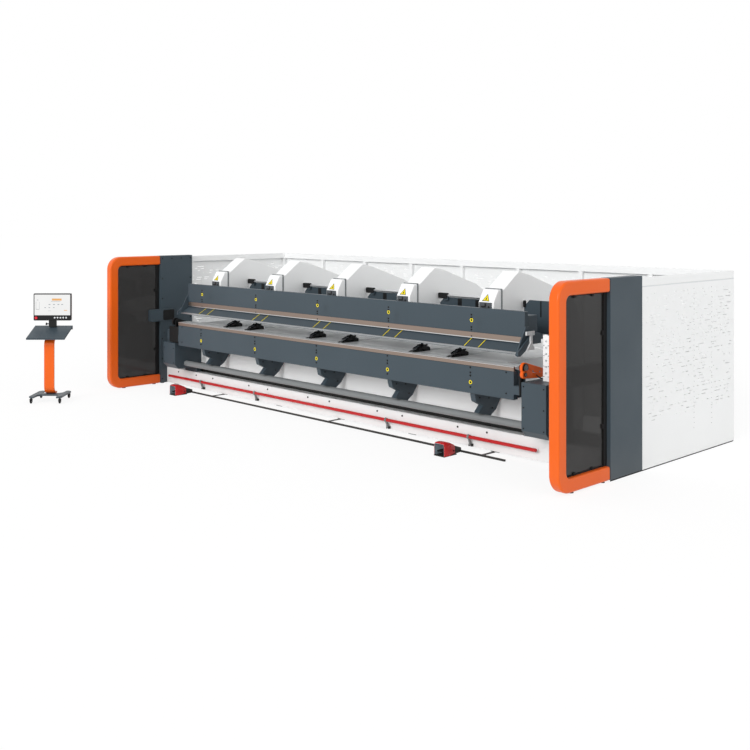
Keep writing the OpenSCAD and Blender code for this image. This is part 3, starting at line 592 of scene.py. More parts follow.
class FOLDER_OT_guards(bpy.types.Operator):
    """Fit the side guards with their seals, clips and sensor housings, and screw the columns"""

    bl_idname = "folder.guards"
    bl_label = "Guards"

    def execute(self, context):
        pane_low, pane_high = LOW["right_guard_pane"], HIGH["right_guard_pane"]
        pane_x = (pane_low[X] + pane_high[X]) / 2
        low, high = pane_low[1:], pane_high[1:]
        corner = 0.07
        path = rounded(low, (high[0] + 0.3, high[1]), corner, 8)
        path = path[(path[:, 0] < high[0] + 0.001)]
        order = np.argsort(np.unwrap(np.arctan2(path[:, 1] - low[1:].mean() - 0.9, path[:, 0] - high[0])) % (2 * math.pi))
        path = path[order]
        path = np.concatenate([[[high[0], high[1]]], path, [[high[0], low[1]]]])
        line = np.column_stack([np.full(len(path), pane_x), path])
        seal = swept([(-0.012, -0.011), (0.003, -0.011), (0.003, 0.011), (-0.012, 0.011)], line, (1, 0, 0))
        piece("pane_seals", both_sides(seal), ["black_rubber"])
        strip = blocks([pane_x - 0.016, high[0] - 0.052, low[1]], [pane_x + 0.016, high[0] - 0.0005, high[1]])
        piece("pane_edge_strips", both_sides(strip), ["black_rubber"], bevel=0.003)
        spots = np.array([[-1.44, high[1]], [-1.13, high[1]], [-1.44, low[1]], [-1.13, low[1]],
                          [low[0], 1.62], [low[0], 0.53], [high[0] - 0.052, 1.50], [high[0] - 0.052, 0.56]])
        inward = np.sign(np.array([-1.20, 1.03]) - spots) * np.where(
            np.isin(np.arange(8), [0, 1, 2, 3])[:, None], [0, 1], [1, 0])
        middles = spots + inward * 0.016
        centres = np.concatenate([np.column_stack([np.full(8, pane_x + side * 0.011), middles]) for side in (-1, 1)])
        wide = np.where(np.isin(np.arange(16) % 8, [0, 1, 2, 3])[:, None], [0.014, 0.044, 0.030], [0.014, 0.030, 0.044])
        clips = blocks(centres - wide / 2, centres + wide / 2)
        heads = [screws(centres[side * 8:side * 8 + 8] + [(2 * side - 1) * 0.007, 0, 0], (2 * side - 1, 0, 0), 0.007,
                        0.004) for side in (0, 1)]
        piece("pane_clips", both_sides(clips), ["black_rubber"], bevel=0.004)
        piece("pane_clip_screws", [s for head in heads for s in both_sides(head)], ["black_oxide"])
        inner = LOW["right_column"][X]
        edge_y = [LOW["right_column"][Y] + 0.035, HIGH["right_column"][Y] - 0.035]
        rows = np.concatenate([
            grid_points([inner], edge_y, np.linspace(0.08, 2.005, 7)),
            grid_points([inner], np.linspace(edge_y[0], edge_y[1], 4)[1:-1], [0.08, 2.005])])
        piece("column_screws", both_sides(screws(rows, (-1, 0, 0), 0.011, 0.005)), ["black_oxide"])
        left_pocket = prism(rounded((-1.07, 1.005), (-0.62, 1.195), 0.03), X, -pane_x - 0.006, -inner + 0.020)
        left_mouth = prism(rounded((-0.845, 1.018), (-0.635, 1.182), 0.024), X, -inner + 0.0195, -inner + 0.0215)
        right_pocket = prism(rounded((-1.47, 1.005), (-0.62, 1.195), 0.05), X, inner - 0.020, pane_x - 0.006)
        piece("sensor_housings", [left_pocket, (*left_mouth, 1), (*right_pocket, 1)],
              ["slate_enamel", "black_oxide"], bevel=0.003)
        return {"FINISHED"}


def dots(centres, direction, radius):
    """Round yellow markers with a black middle."""
    step = np.asarray(direction, float) * PROUD
    return [turned(disc(radius, PROUD, 0.0002), centres, direction, 24),
            (*turned(disc(radius * 0.55, PROUD * 0.6, 0.0002), np.atleast_2d(centres) + step, direction, 18), 1)]


class FOLDER_OT_beams(bpy.types.Operator):
    """Put screws, markers and the ground edges of the tools on both folding beams"""

    bl_idname = "folder.beams"
    bl_label = "Folding beams"

    def execute(self, context):
        sizes = context.scene.folder_sizes
        r = sizes.screw_radius
        lower_face = LOW["lower_folding_beam"][Y]
        upper_face = LOW["upper_folding_beam"][Y]
        rows = grid_points(STATIONS, [lower_face], [1.006, 0.949, 0.916, 0.789])
        ends = grid_points([-BEAM_X + 0.1, BEAM_X - 0.1], [lower_face], [1.006, 0.78])
        piece("lower_beam_screws", [screws(rows, FRONT, r), screws(ends, FRONT, r * 0.8)], ["black_oxide"],
              "lower_fold")
        rows = grid_points(STATIONS, [upper_face], [1.587, 1.557, 1.450, 1.421])
        tips = grid_points(STATIONS, [upper_face], [1.350])
        piece("upper_beam_screws", [screws(rows, FRONT, r), screws(tips, FRONT, r * 0.8, 0.004)],
              ["black_oxide"], "upper_fold")
        piece("lower_beam_dots", dots(grid_points(STATIONS, [lower_face], [0.842]), FRONT, sizes.dot_radius),
              ["yellow_vinyl", "black_oxide"], "lower_fold")
        piece("upper_beam_dots", dots(grid_points(STATIONS, [upper_face], [1.527]), FRONT, sizes.dot_radius),
              ["yellow_vinyl", "black_oxide"], "upper_fold")
        tool_low, tool_high = LOW["upper_folding_tool"], HIGH["upper_folding_tool"]
        edge = blocks([tool_low[X], tool_low[Y] - PROUD, tool_low[Z] + 0.0005],
                      [tool_high[X], tool_low[Y] + 0.002, tool_low[Z] + 0.010])
        # The black strip at the tool's joint with its beam is painted shadow of the crevice between them.
        gap_shadow = blocks([tool_low[X], tool_low[Y] - PROUD, tool_high[Z] - 0.002],
                     [tool_high[X], tool_low[Y] + 0.002, tool_high[Z]])
        piece("upper_tool_edge", [edge, (*gap_shadow, 1)], ["bright_steel", "black_oxide"], "upper_fold")
        tool_low, tool_high = LOW["lower_folding_tool"], HIGH["lower_folding_tool"]
        edge = blocks([tool_low[X], tool_low[Y] - PROUD, tool_high[Z] - 0.007],
                      [tool_high[X], tool_low[Y] + 0.002, tool_high[Z] - 0.0005])
        # The black strip at the tool's joint with its beam is painted shadow of the crevice between them.
        gap_shadow = blocks([tool_low[X], tool_low[Y] - PROUD, tool_low[Z]],
                     [tool_high[X], tool_low[Y] + 0.002, tool_low[Z] + 0.002])
        piece("lower_tool_edge", [edge, (*gap_shadow, 1)], ["bright_steel", "black_oxide"], "lower_fold")
        return {"FINISHED"}


def on_slope(centres_x, width, start, end, foot, angle, thick):
    """Thin plates lying on a slope: from start to end up it, and thick above it, at each X."""
    along = np.array([0, math.cos(angle), math.sin(angle)])
    above = np.array([0, -math.sin(angle), math.cos(angle)])
    corners = CUBE * [width, end - start, thick] + [-width / 2, start, -0.0005]
    one = corners[:, 0, None] * np.array([1, 0, 0]) + corners[:, 1, None] * along + corners[:, 2, None] * above
    centres = np.array([[x, foot[0], foot[1]] for x in np.atleast_1d(centres_x)])
    points = centres[:, None] + one
    faces = CUBE_FACES + 8 * np.arange(len(centres))[:, None, None]
    return points.reshape(-1, 3), faces.reshape(-1, 4).tolist()


class FOLDER_OT_clamp(bpy.types.Operator):
    """Dress the clamp: nose edge, marks with painted shadows beside them, painted shade in the deck slots, rod caps,
    head labels and seals
    """

    bl_idname = "folder.clamp"
    bl_label = "Clamp"

    def execute(self, context):
        body = "upper_clamp"
        tip = (LOW["clamp_nose"][Y], LOW["clamp_nose"][Z] + 0.004)
        slope = math.radians(30)
        length = (HIGH["clamp_nose"][Y] - tip[0]) / math.cos(slope)
        strip = on_slope([0], 2 * BEAM_X, 0.001, 0.034, tip, slope, 0.0009)
        line = on_slope([0], 2 * BEAM_X, 0.034, 0.038, tip, slope, 0.0006)
        piece("nose_edge", [strip, (*line, 1)], ["bright_steel", "black_oxide"], body)
        marks = np.concatenate([STATIONS - 0.150, STATIONS + 0.055])
        stripes = on_slope(marks, 0.011, 0.040, length - 0.004, tip, slope, 0.0012)
        # The black strips beside the yellow stripes are painted shadows of the stripes.
        shades = on_slope(marks + 0.009, 0.006, 0.040, length - 0.004, tip, slope, 0.0010)
        piece("nose_marks", [stripes, (*shades, 1)], ["yellow_vinyl", "black_oxide"], body)
        # Black plates on the shields stand for their slots and end gaps: painted shade, with nothing cut through.
        face, top = HIGH["clamp_shields"][Y] - 0.012, HIGH["clamp_rods"][Z] - 0.035
        left = np.concatenate([STATIONS[:-1] + 0.420, STATIONS[:-1] + 0.700])
        low = np.column_stack([left, np.full(8, face - PROUD), np.full(8, top - 0.20)])
        slots = blocks(low, low + [0.066, PROUD * 2, 0.19])
        end_x = np.array([STATIONS[-1] + 0.358, STATIONS[0] - 0.376])
        low = np.column_stack([end_x, np.full(2, face - PROUD), np.full(2, top - 0.15)])
        end_gap_shadows = blocks(low, low + [0.018, PROUD * 2, 0.184])
        piece("shield_slot_shadows", [slots, end_gap_shadows], ["black_oxide"], body)
        rods_low, rods_high = LOW["clamp_rods"], HIGH["clamp_rods"]
        line = [(rods_low[Y] + rods_high[Y]) / 2, rods_high[Z] - 0.015]
        start = STATIONS[:-1] + 0.130
        centres = np.column_stack([start + 0.1, np.full(4, line[0]), np.full(4, line[1])])
        rod = turned([(0, 0), (0.015, 0), (0.015, 0.94), (0, 0.94)], centres, RIGHT, 24)
        piece("slide_rods", [rod], ["bright_steel"], body, ["clamp_rods"])
        low = np.column_stack([start, np.full(4, rods_low[Y]), np.full(4, rods_low[Z])])
        holders = [blocks(low + [0.086, 0, 0.03], low + [0.150, 0.030, 0.075]),
                   blocks(low + [0.990, 0, 0], low + [1.040, 0.030, 0.105])]
        piece("rod_holders", holders, ["slate_enamel"], body, bevel=0.002)
        low = np.column_stack([start - 0.006, np.full(4, line[0] - 0.022), np.full(4, line[1] - 0.040)])
        caps = blocks(low, low + [0.152, 0.044, 0.071])
        end_cap = blocks([STATIONS[-1] + 0.131, face - 0.03, top - 0.05],
                         [STATIONS[-1] + 0.158, face + 0.012, top + 0.030])
        piece("rod_caps", [caps, *both_sides(end_cap)], ["black_rubber"], body,
              bevel=0.012, segments=3)
        heads_low, heads_high = LOW["arm_heads"], HIGH["arm_heads"]
        face = heads_low[Y]
        label_low = np.column_stack([STATIONS - 0.096, np.full(5, face - PROUD), np.full(5, 1.630)])
        label = blocks(label_low, label_low + [0.186, PROUD, 0.078])
        mark = blocks(label_low + [0.078, -0.0004, 0.034], label_low + [0.104, 0.0002, 0.066])
        bar = blocks(label_low + [0.030, -0.0004, 0.020], label_low + [0.095, 0.0002, 0.036])
        knob = turned(disc(0.012, 0.004, 0.002), label_low + [0.138, 0, 0.028], FRONT, 16)
        piece("head_labels", [label, (*mark, 1), (*bar, 1), (*knob, 1)], ["grey_vinyl", "black_oxide"], body)
        bevel_angle = math.atan2(0.140, 0.080)
        edge = (face, heads_high[Z] - 0.140)
        outer = self.triangle(0.108, 0.092, 0.012, edge, bevel_angle, 0.0006)
        inner = self.triangle(0.082, 0.069, 0.020, edge, bevel_angle, 0.0011)
        centre = self.triangle(0.022, 0.034, 0.030, edge, bevel_angle, 0.0014)
        piece("head_triangles", [(*outer, 1), inner, (*centre, 1)], ["yellow_vinyl", "black_oxide"], body)
        self.seals(body, heads_low, heads_high)
        return {"FINISHED"}

    @staticmethod
    def triangle(width, height, start, foot, angle, thick):
        """Upright triangular plates on the heads' slanted fronts."""
        flat = np.array([[-width / 2, start], [width / 2, start], [0, start + height]])
        along = np.array([0, math.cos(angle), math.sin(angle)])
        above = np.array([0, -math.sin(angle), math.cos(angle)])
        one = flat[:, 0, None] * np.array([1, 0, 0]) + flat[:, 1, None] * along
        both = np.concatenate([one - 0.0005 * above, one + thick * above])
        centres = np.array([[x - 0.008, *foot] for x in STATIONS])
        points = (centres[:, None] + both).reshape(-1, 3)
        faces = [[0, 1, 2], [3, 4, 5], [0, 1, 4, 3], [1, 2, 5, 4], [2, 0, 3, 5]]
        return points, [[v + 6 * i for v in f] for i in range(len(centres)) for f in faces]

    @staticmethod
    def seals(body, low, high):
        """A brush seal round the top and sides of each head, where it meets its C-frame."""
        half, lip = (high[X] - STATIONS[-1]), 0.009
        shapes = []
        for x in STATIONS:
            outline = [(x - half - lip, 1.61), (x - half - lip, high[Z] + lip), (x + half + lip, high[Z] + lip),
                       (x + half + lip, 1.61), (x + half - 0.004, 1.61), (x + half - 0.004, high[Z] - 0.004),
                       (x - half + 0.004, high[Z] - 0.004), (x - half + 0.004, 1.61)]
            shapes.append(prism(outline, Y, high[Y] - 0.013, high[Y] - 0.0005))
        piece("head_seals", shapes, ["seal_grey"], body)


class FOLDER_OT_gauge(bpy.types.Operator):
    """Build the back gauge's grippers: split foot, clamping finger, body and knob"""

    bl_idname = "folder.gauge"
    bl_label = "Grippers"

    def execute(self, context):
        low, high = LOW["grippers"], HIGH["grippers"]
        table, front, back = low[Z], low[Y], high[Y]
        xs = np.array([-2.100, -1.590, -0.250, 0.380, 1.630, 2.230])
        dark, bright = [], []
        toe = [(front, table), (front, table + 0.006), (front + 0.110, table + 0.026), (front + 0.19, table + 0.030),
               (front + 0.19, table)]
        finger = [(front + 0.004, table + 0.011), (front + 0.012, table + 0.017), (front + 0.125, table + 0.062),
                  (front + 0.185, table + 0.066), (front + 0.185, table + 0.054), (front + 0.13, table + 0.050)]
        body = [(front + 0.140, table), (front + 0.140, table + 0.050), (front + 0.155, table + 0.076),
                (front + 0.205, table + 0.076), (front + 0.215, table + 0.058), (back - 0.03, table + 0.052),
                (back, table + 0.036), (back, table)]
        arm = [(front + 0.06, table + 0.030), (front + 0.06, table + 0.040), (front + 0.17, table + 0.079),
               (front + 0.24, table + 0.079), (front + 0.24, table + 0.058), (front + 0.18, table + 0.058)]
        for x in xs:
            dark += [prism(toe, X, x - 0.050, x - 0.019), prism(toe, X, x + 0.019, x + 0.050),
                     prism(body, X, x - 0.050, x + 0.050), prism(arm, X, x - 0.040, x - 0.026),
                     prism(arm, X, x + 0.026, x + 0.040)]
            # The finger's bright steel is partly its own finish and partly a painted highlight along the prong's top.
            bright.append(prism(finger, X, x - 0.015, x + 0.015))
        knob = [(0, 0), (0.013, 0), (0.013, 0.012), (0.010, 0.016), (0.010, 0.02), (0, 0.02)]
        spots = np.column_stack([xs, np.full(6, front + 0.18), np.full(6, table + 0.075)])
        piece("gripper_bodies", dark, ["black_enamel"], "back_gauge", ["grippers"], bevel=0.003)
        piece("gripper_fingers", bright, ["bright_steel"], "back_gauge", bevel=0.0015)
        pivot = np.column_stack([xs - 0.050, np.full(6, front + 0.165), np.full(6, table + 0.040)])
        pins = turned(disc(0.008, 0.108, 0.001), pivot - [0.004, 0, 0], RIGHT, 14)
        caps = np.concatenate([spots + [-0.034, 0.004, 0.001], spots + [0.034, 0.004, 0.001]])
        piece("gripper_screws", [turned(knob, spots, UP, 16), pins, screws(caps, UP, 0.006, 0.005)],
              ["black_oxide"], "back_gauge")
        return {"FINISHED"}


class FOLDER_OT_base(bpy.types.Operator):
    """Add the base's and the brackets' screws and the trip bar with its arms"""

    bl_idname = "folder.base"
    bl_label = "Base"

    def execute(self, context):
        face = LOW["base_beam"][Y]
        pairs = np.concatenate([(TRIP_X[:, None] + [-0.22, 0.22]).ravel(), [-3.773, -0.613, -0.173, 3.44]])
        piece("base_screws", [screws(grid_points(pairs, [face], [0.218]), FRONT, 0.012, 0.007)],
              ["black_oxide"])
        bracket_face = STATIONS[:, None] + [[-0.035, 0.035]]
        holes = [(-1.02, 0.66), (-0.86, 0.64), (-0.80, 0.52)]
        shapes = [screws([(x, y, z) for x in bracket_face[:, side] for y, z in holes], (2 * side - 1, 0, 0), 0.010)
                  for side in (0, 1)]
        piece("bracket_screws", shapes, ["black_oxide"])
        bar_low, bar_high = LOW["trip_bar"], HIGH["trip_bar"]
        y, z, r = -0.820, 0.145, 0.020
        length = bar_high[X] - bar_low[X]
        bar = [(0, 0), (r - 0.003, 0), (r, 0.003), (r, length - 0.003), (r - 0.003, length), (0, length)]
        piece("red_trip_bar", [turned(bar, [bar_low[X], y, z], RIGHT, 32)], ["red_enamel"], "trip",
              ["trip_bar"])
        arm = [(-0.798, 0.040), (-0.785, 0.032), (-0.773, 0.040), (-0.773, 0.055), (-0.806, 0.150),
               (-0.815, 0.166), (-0.828, 0.166), (-0.836, 0.152), (-0.833, 0.138)]
        sleeve = [(r - 0.001, 0), (r + 0.006, 0.001), (r + 0.006, 0.027), (r - 0.001, 0.028)]
        sleeves = np.column_stack([TRIP_X - 0.014, np.full(4, y), np.full(4, z)])
        bolts = sleeves + [0.014, -0.008, r + 0.004]
        shapes = [prism(arm, X, x - 0.009, x + 0.009) for x in TRIP_X]
        piece("trip_arms", [*shapes, turned(sleeve, sleeves, RIGHT, 28), screws(bolts, UP, 0.007, 0.008)],
              ["grey_steel"], "trip")
        return {"FINISHED"}


class FOLDER_OT_drives(bpy.types.Operator):
    """Add bearings, bolts and the second link to the drives at the beams' ends"""

    bl_idname = "folder.drives"
    bl_label = "Drives"

    def execute(self, context):
        inner, outer = LOW["drive_levers"][X], HIGH["drive_levers"][X]
        bend = np.array([-1.110, 1.074])
        t = np.linspace(math.radians(70), math.radians(260), 18)
        lobe = np.column_stack([np.cos(t), np.sin(t)])
        upper = np.concatenate([bend + 0.056 * lobe, [(-1.02, 1.024), (-0.79, 0.985), (-0.79, 1.040)]])
        lower = np.concatenate([bend + [-0.014, -0.068] + 0.043 * lobe,
                                [(-0.86, 0.945), (-0.80, 0.955), (-0.80, 0.990), (-0.98, 1.012), (-1.06, 1.050)]])
        piece("drive_lever", [prism(upper, X, inner, outer)], ["orange_enamel"],
              replaces=["drive_levers"], bevel=0.004, segments=3)
        piece("drive_link", [prism(lower, X, inner + 0.004, outer + 0.010)], ["orange_enamel"],
              bevel=0.004, segments=3)
        bearing = [(0, 0), (0.041, 0), (0.041, 0.007), (0.036, 0.010), (0.030, 0.010), (0.028, 0.006),
                   (0.014, 0.006), (0.014, 0.012), (0, 0.012)]
        shaft = turned(bearing, [outer - 0.001, *bend], RIGHT, 32)
        small = turned([(r * 0.5, h) for r, h in bearing], [outer + 0.009, -1.124, 1.006], RIGHT, 24)
        bolts = screws([(outer, -0.98, 1.028), (outer, -0.86, 1.01)], RIGHT, 0.009)
        ring = [(0.036, -0.001), (0.045, -0.001), (0.045, 0.008), (0.036, 0.0105), (0.036, -0.001)]
        rims = [turned(ring, [outer, *bend], RIGHT, 32),
                turned([(r * 0.5, h) for r, h in ring], [outer + 0.010, -1.124, 1.006], RIGHT, 24)]
        piece("lever_bearings", [shaft, small, bolts, *((*rim, 1) for rim in rims)],
              ["grey_steel", "black_oxide"])
        hose = np.linspace(0, 1, 14)
        line = np.column_stack([outer + 0.02 + 0.11 * hose, -0.95 + 0.10 * hose,
                                0.985 - 0.045 * np.sin(hose * 2.4)])
        t = np.linspace(0, 2 * math.pi, 9)[:-1]
        section = np.column_stack([0.007 * np.cos(t), 0.007 * np.sin(t)])
        piece("lever_hose", [swept(section, line, (0, 0, 1))], ["black_rubber"])
        cover_low, cover_high = LOW["left_arm_cover"], HIGH["left_arm_cover"]
        cap = prism(rounded((cover_low[X], cover_low[Z]), (-BEAM_X - 0.002, 1.000), 0.02), Y,
                    cover_low[Y] - 0.004, -1.098)
        piece("left_end_cap", [cap], ["black_rubber"], "lower_fold", ["left_arm_cover"],
              bevel=0.012, segments=3)
        box_low, box_high = LOW["right_drive_box"], HIGH["right_drive_box"]
        face_x = [box_low[X] + 0.03, box_high[X] - 0.03]
        fronts = grid_points(face_x, [box_low[Y]], [0.44, 0.66, 0.88])
        piece("drive_box_screws", both_sides(screws(fronts, FRONT, 0.008)), ["black_oxide"])
        strip_low, strip_high = LOW["hole_strip"], HIGH["hole_strip"]
        spots = grid_points([strip_low[X] + 0.012, strip_high[X] - 0.012], [strip_low[Y]],
                            np.arange(strip_low[Z] + 0.05, strip_high[Z], 0.11))
        piece("hole_strip_screws", [screws(spots, FRONT, 0.005, 0.003)], ["black_oxide"])
        end = HIGH["upper_end_brackets"][X]
        web = [(-1.00, 1.44), (-0.86, 1.44), (-0.86, 1.395), (-0.895, 1.395), (-0.895, 1.30), (-0.86, 1.24),
               (-0.99, 1.24), (-0.93, 1.31), (-0.93, 1.40), (-1.00, 1.40)]
        heads = screws(grid_points([end + 0.018], [-0.912], [1.27, 1.33, 1.42]), RIGHT, 0.007, 0.004)
        piece("end_link_bracket", [prism(web, X, end, end + 0.018), heads],
              ["pale_steel"], "upper_clamp", bevel=0.002)
        return {"FINISHED"}


class FOLDER_OT_pedals(bpy.types.Operator):
    """Build the two foot switches: sole, red hood and ribbed treadle"""

    bl_idname = "folder.pedals"
    bl_label = "Foot switches"

    def execute(self, context):
        low, high = LOW["pedal_hoods"], HIGH["pedal_hoods"]
        front, back, top = low[Y], low[Y] + 0.210, high[Z]
        xs = [-3.080, 2.300]
        half = 0.080
        rows = np.array([[front + 0.002, 0.077, 0.146], [front + 0.012, 0.080, 0.153], [front + 0.06, 0.080, top],
                         [front + 0.11, 0.079, 0.148], [back - 0.02, 0.060, 0.112], [back, 0.054, 0.098]])
        t = np.linspace(0, math.pi, 13)
        arch = np.column_stack([np.sign(np.cos(t)) * np.abs(np.cos(t)) ** 0.22, np.sin(t) ** 0.22])
        tail = np.array([[back - 0.004, 0.052, 0.096], [back + 0.04, 0.048, 0.084], [back + 0.08, 0.044, 0.070],
                         [LOW["floor_rail"][Y] + 0.002, 0.038, 0.056]])
        hoods, linings, tails, soles = [], [], [], []
        for x in xs:
            outer = self.vault(rows, arch, x, 0.0)
            inner = self.vault(rows - [0, 0.004, 0.004], arch, x, 0.0)
            lining = self.vault(rows - [0, 0.006, 0.006], arch, x, 0.0)
            hoods.append(self.skin(outer, inner))
            linings.append(self.skin(inner[:-1], lining[:-1]))
            tails.append(self.skin(self.vault(tail, arch, x, -0.010), None))
            soles.append(blocks([x - half + 0.002, front - 0.002, 0], [x + half - 0.002, back, 0.012]))
            soles.append(blocks([x - 0.056, back - 0.006, 0.002], [x + 0.056, back, 0.098]))
        piece("pedal_hood_shells", hoods, ["red_enamel"], replaces=["pedal_hoods"])
        piece("pedal_linings", linings, ["pedal_grey"])
        piece("pedal_soles", soles + tails, ["black_enamel"], bevel=0.002)
        for side, x in zip(("left", "right"), xs):
            node = side + "_treadle"
            t_low, t_high = LOW[node], HIGH[node]
            tread = [(t_low[Y], 0.041), (t_low[Y], 0.052), (t_high[Y] - 0.012, 0.057), (t_high[Y] - 0.004, 0.046),
                     (t_high[Y] - 0.012, 0.039)]
            plate = prism(tread, X, x - half + 0.013, x + half - 0.013)
            ribs_y = np.linspace(t_low[Y] + 0.010, t_high[Y] - 0.030, 9)
            centres = np.column_stack([np.full(9, x), ribs_y, 0.053 + (ribs_y - t_low[Y]) * 0.04])
            ribs = around(centres, (2 * half - 0.036, 0.005, 0.004))
            pin = turned(disc(0.005, 2 * half - 0.013, 0.001), [x - half + 0.0065, t_high[Y] - 0.012, 0.046],
                         RIGHT, 16)
            piece(node + "_plate", [plate, ribs, pin], ["black_rubber"], side + "_pedal",
                  [node], bevel=0.001)
        return {"FINISHED"}

    @staticmethod
    def vault(rows, arch, x, foot):
        """Arches along Y: point(i, j) = (x + width_i arch_j.x, y_i, foot + (top_i - foot) arch_j.y)."""
        points = np.empty((len(rows), len(arch), 3))
        points[:, :, X] = x + rows[:, 1, None] * arch[:, 0]
        points[:, :, Y] = rows[:, 0, None]
        points[:, :, Z] = np.maximum(foot + (rows[:, 2, None] - foot) * arch[:, 1], 0.006)
        return points

    @staticmethod
    def skin(outer, inner):
        """Closes an arched skin: outer and inner faces and their rims, or one solid where inner is None."""
        rows, count = outer.shape[:2]
        both = outer if inner is None else np.concatenate([outer, inner[:, ::-1]], 1)
        columns = both.shape[1]
        i, j = np.meshgrid(np.arange(rows - 1), np.arange(columns), indexing="ij")
        k = (j + 1) % columns
        quads = np.stack([i * columns + j, i * columns + k, (i + 1) * columns + k, (i + 1) * columns + j], -1)
        if inner is None:
            ends = [list(range(columns)), list(range((rows - 1) * columns, rows * columns))]
        else:
            edge = np.arange(count - 1)
            rim = np.stack([edge, edge + 1, 2 * count - 2 - edge, 2 * count - 1 - edge], 1)
            ends = rim.tolist() + (rim + (rows - 1) * columns).tolist()
        return both.reshape(-1, 3), quads.reshape(-1, 4).tolist() + ends


